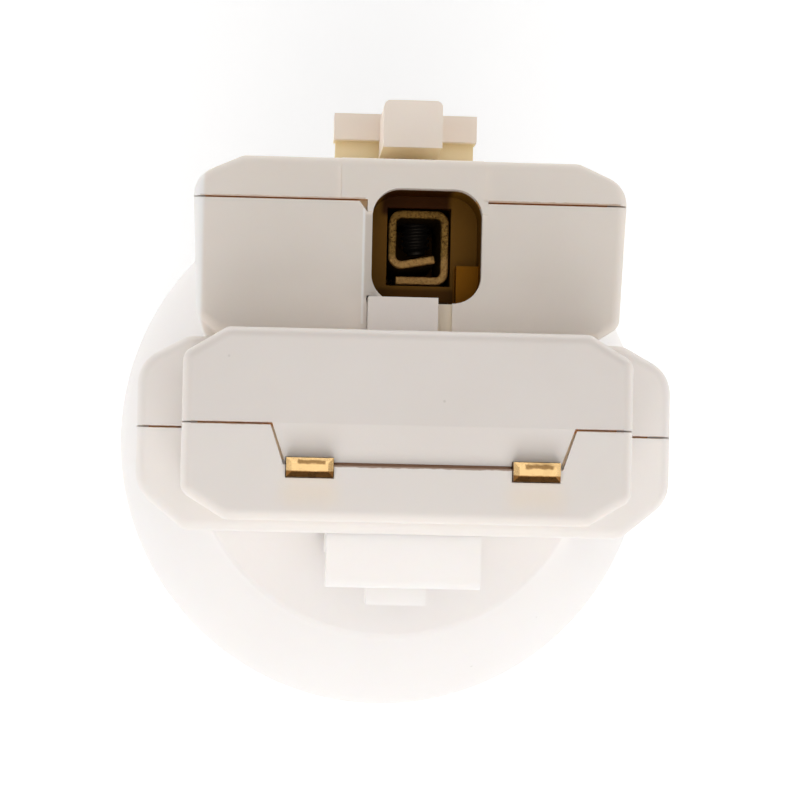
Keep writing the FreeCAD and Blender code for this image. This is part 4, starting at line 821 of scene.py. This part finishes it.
def rivets():
    """Tubular rivets with domed heads: a head's radius at height h above its foot is
    head * sqrt(1 - (h / (head height * 1.02)) ^ 2)."""
    corner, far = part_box("contact_rivets")
    head, shank, rise = 1.8 * MM, 1.1 * MM, 0.5 * MM
    lift = np.linspace(1, 0, 8)
    dome = head * np.sqrt(1 - (lift / 1.02) ** 2)
    radius = np.concatenate([dome, [shank, shank], dome[::-1]])
    along = np.concatenate([corner.z + rise * (1 - lift), [corner.z + rise, far.z - rise],
                            far.z - rise * (1 - lift[::-1])])
    for name, x in (("rivet_left", corner.x + head), ("rivet_right", far.x - head)):
        piece = turned(name, (x, 0, 0), 2, np.tile(radius, (40, 1)), along, "blade_brass", "holder")
        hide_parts("contact_rivets")


lamp_thread()
earth_screw()
earth_box()
opening_corner()
slot_floor()
latch_leaf("top_latch_spring", True)
latch_leaf("bottom_latch_spring", False)
centre_leaf()
rivets()


# ---------------------------------------------------------------- floor, light and camera

def make_floor():
    """A flat sheet just under the rim, which glows a little, as a lit table does."""
    half, under = 3.0, low("skirt").z - 0.05 * MM
    outline = [(-half, -half, under), (half, -half, under), (half, half, under),
               (-half, half, under)]
    mesh = bpy.data.meshes.new("floor")
    mesh.from_pydata(outline, [], [(0, 1, 2, 3)])
    finish = new_material("floor_white", Base_Color=rgb(0.93, 0.93, 0.93), Roughness=0.9,
                          Emission_Color=rgb(1.0, 1.0, 1.0), Emission_Strength=0.315)
    mesh.materials.append(finish[0])
    floor = bpy.data.objects.new("floor", mesh)
    bpy.context.scene.collection.objects.link(floor)


def soft_light(name, place, size, watts):
    """A rectangular light that faces the middle of the holder."""
    data = bpy.data.lights.new(name, "AREA")
    data.shape = "RECTANGLE"
    data.size, data.size_y = size
    data.energy = watts
    light = bpy.data.objects.new(name, data)
    light.location = place
    light.rotation_mode = "QUATERNION"
    middle = Vector((0, 0, 0.04))
    light.rotation_quaternion = (middle - Vector(place)).to_track_quat("-Z", "Y")
    bpy.context.scene.collection.objects.link(light)


def make_lights():
    """Four low strips round the holder, one high light in front and one overhead."""
    world = bpy.data.worlds.new("studio")
    world.use_nodes = True
    background = world.node_tree.nodes["Background"]
    background.inputs["Color"].default_value = rgb(1.0, 0.99, 0.985)
    background.inputs["Strength"].default_value = 0.0
    bpy.context.scene.world = world
    strip = (0.6, 0.16)
    soft_light("low_front", (0.0, -0.33, 0.05), strip, 0.031)
    soft_light("low_back", (0.0, 0.33, 0.05), strip, 0.749)
    soft_light("low_left", (-0.33, 0.0, 0.05), strip, 0.556)
    soft_light("low_right", (0.33, 0.0, 0.05), strip, 0.575)
    soft_light("high_front", (0.0, -0.35, 0.35), (0.5, 0.4), 1.345)
    soft_light("overhead", (0.0, 0.0, 0.6), (0.5, 0.5), 1.563)


def make_camera():
    """The camera looks down on the plug from a little left of and below its middle."""
    place = Vector((-9.42, -5.96, 266.99)) * MM
    aim = Vector((-0.57, 1.70, 71.75)) * MM
    lens, sensor, roll = 136.27, 36.0, math.radians(-1.23)
    data = bpy.data.cameras.new("camera")
    data.sensor_width = sensor
    data.lens = lens
    data.clip_start, data.clip_end = 0.01, 20.0
    camera = bpy.data.objects.new("camera", data)
    back = (place - aim).normalized()
    across = Vector((0, 1, 0)).cross(back).normalized()
    up = back.cross(across)
    turned_up = up * math.cos(roll) + across * math.sin(roll)
    turned_across = turned_up.cross(back)
    basis = Matrix((turned_across, turned_up, back)).transposed()
    camera.matrix_world = Matrix.Translation(place) @ basis.to_4x4()
    bpy.context.scene.collection.objects.link(camera)
    bpy.context.scene.camera = camera


make_floor()
make_lights()
make_camera()
bpy.context.scene.view_settings.view_transform = "Standard"
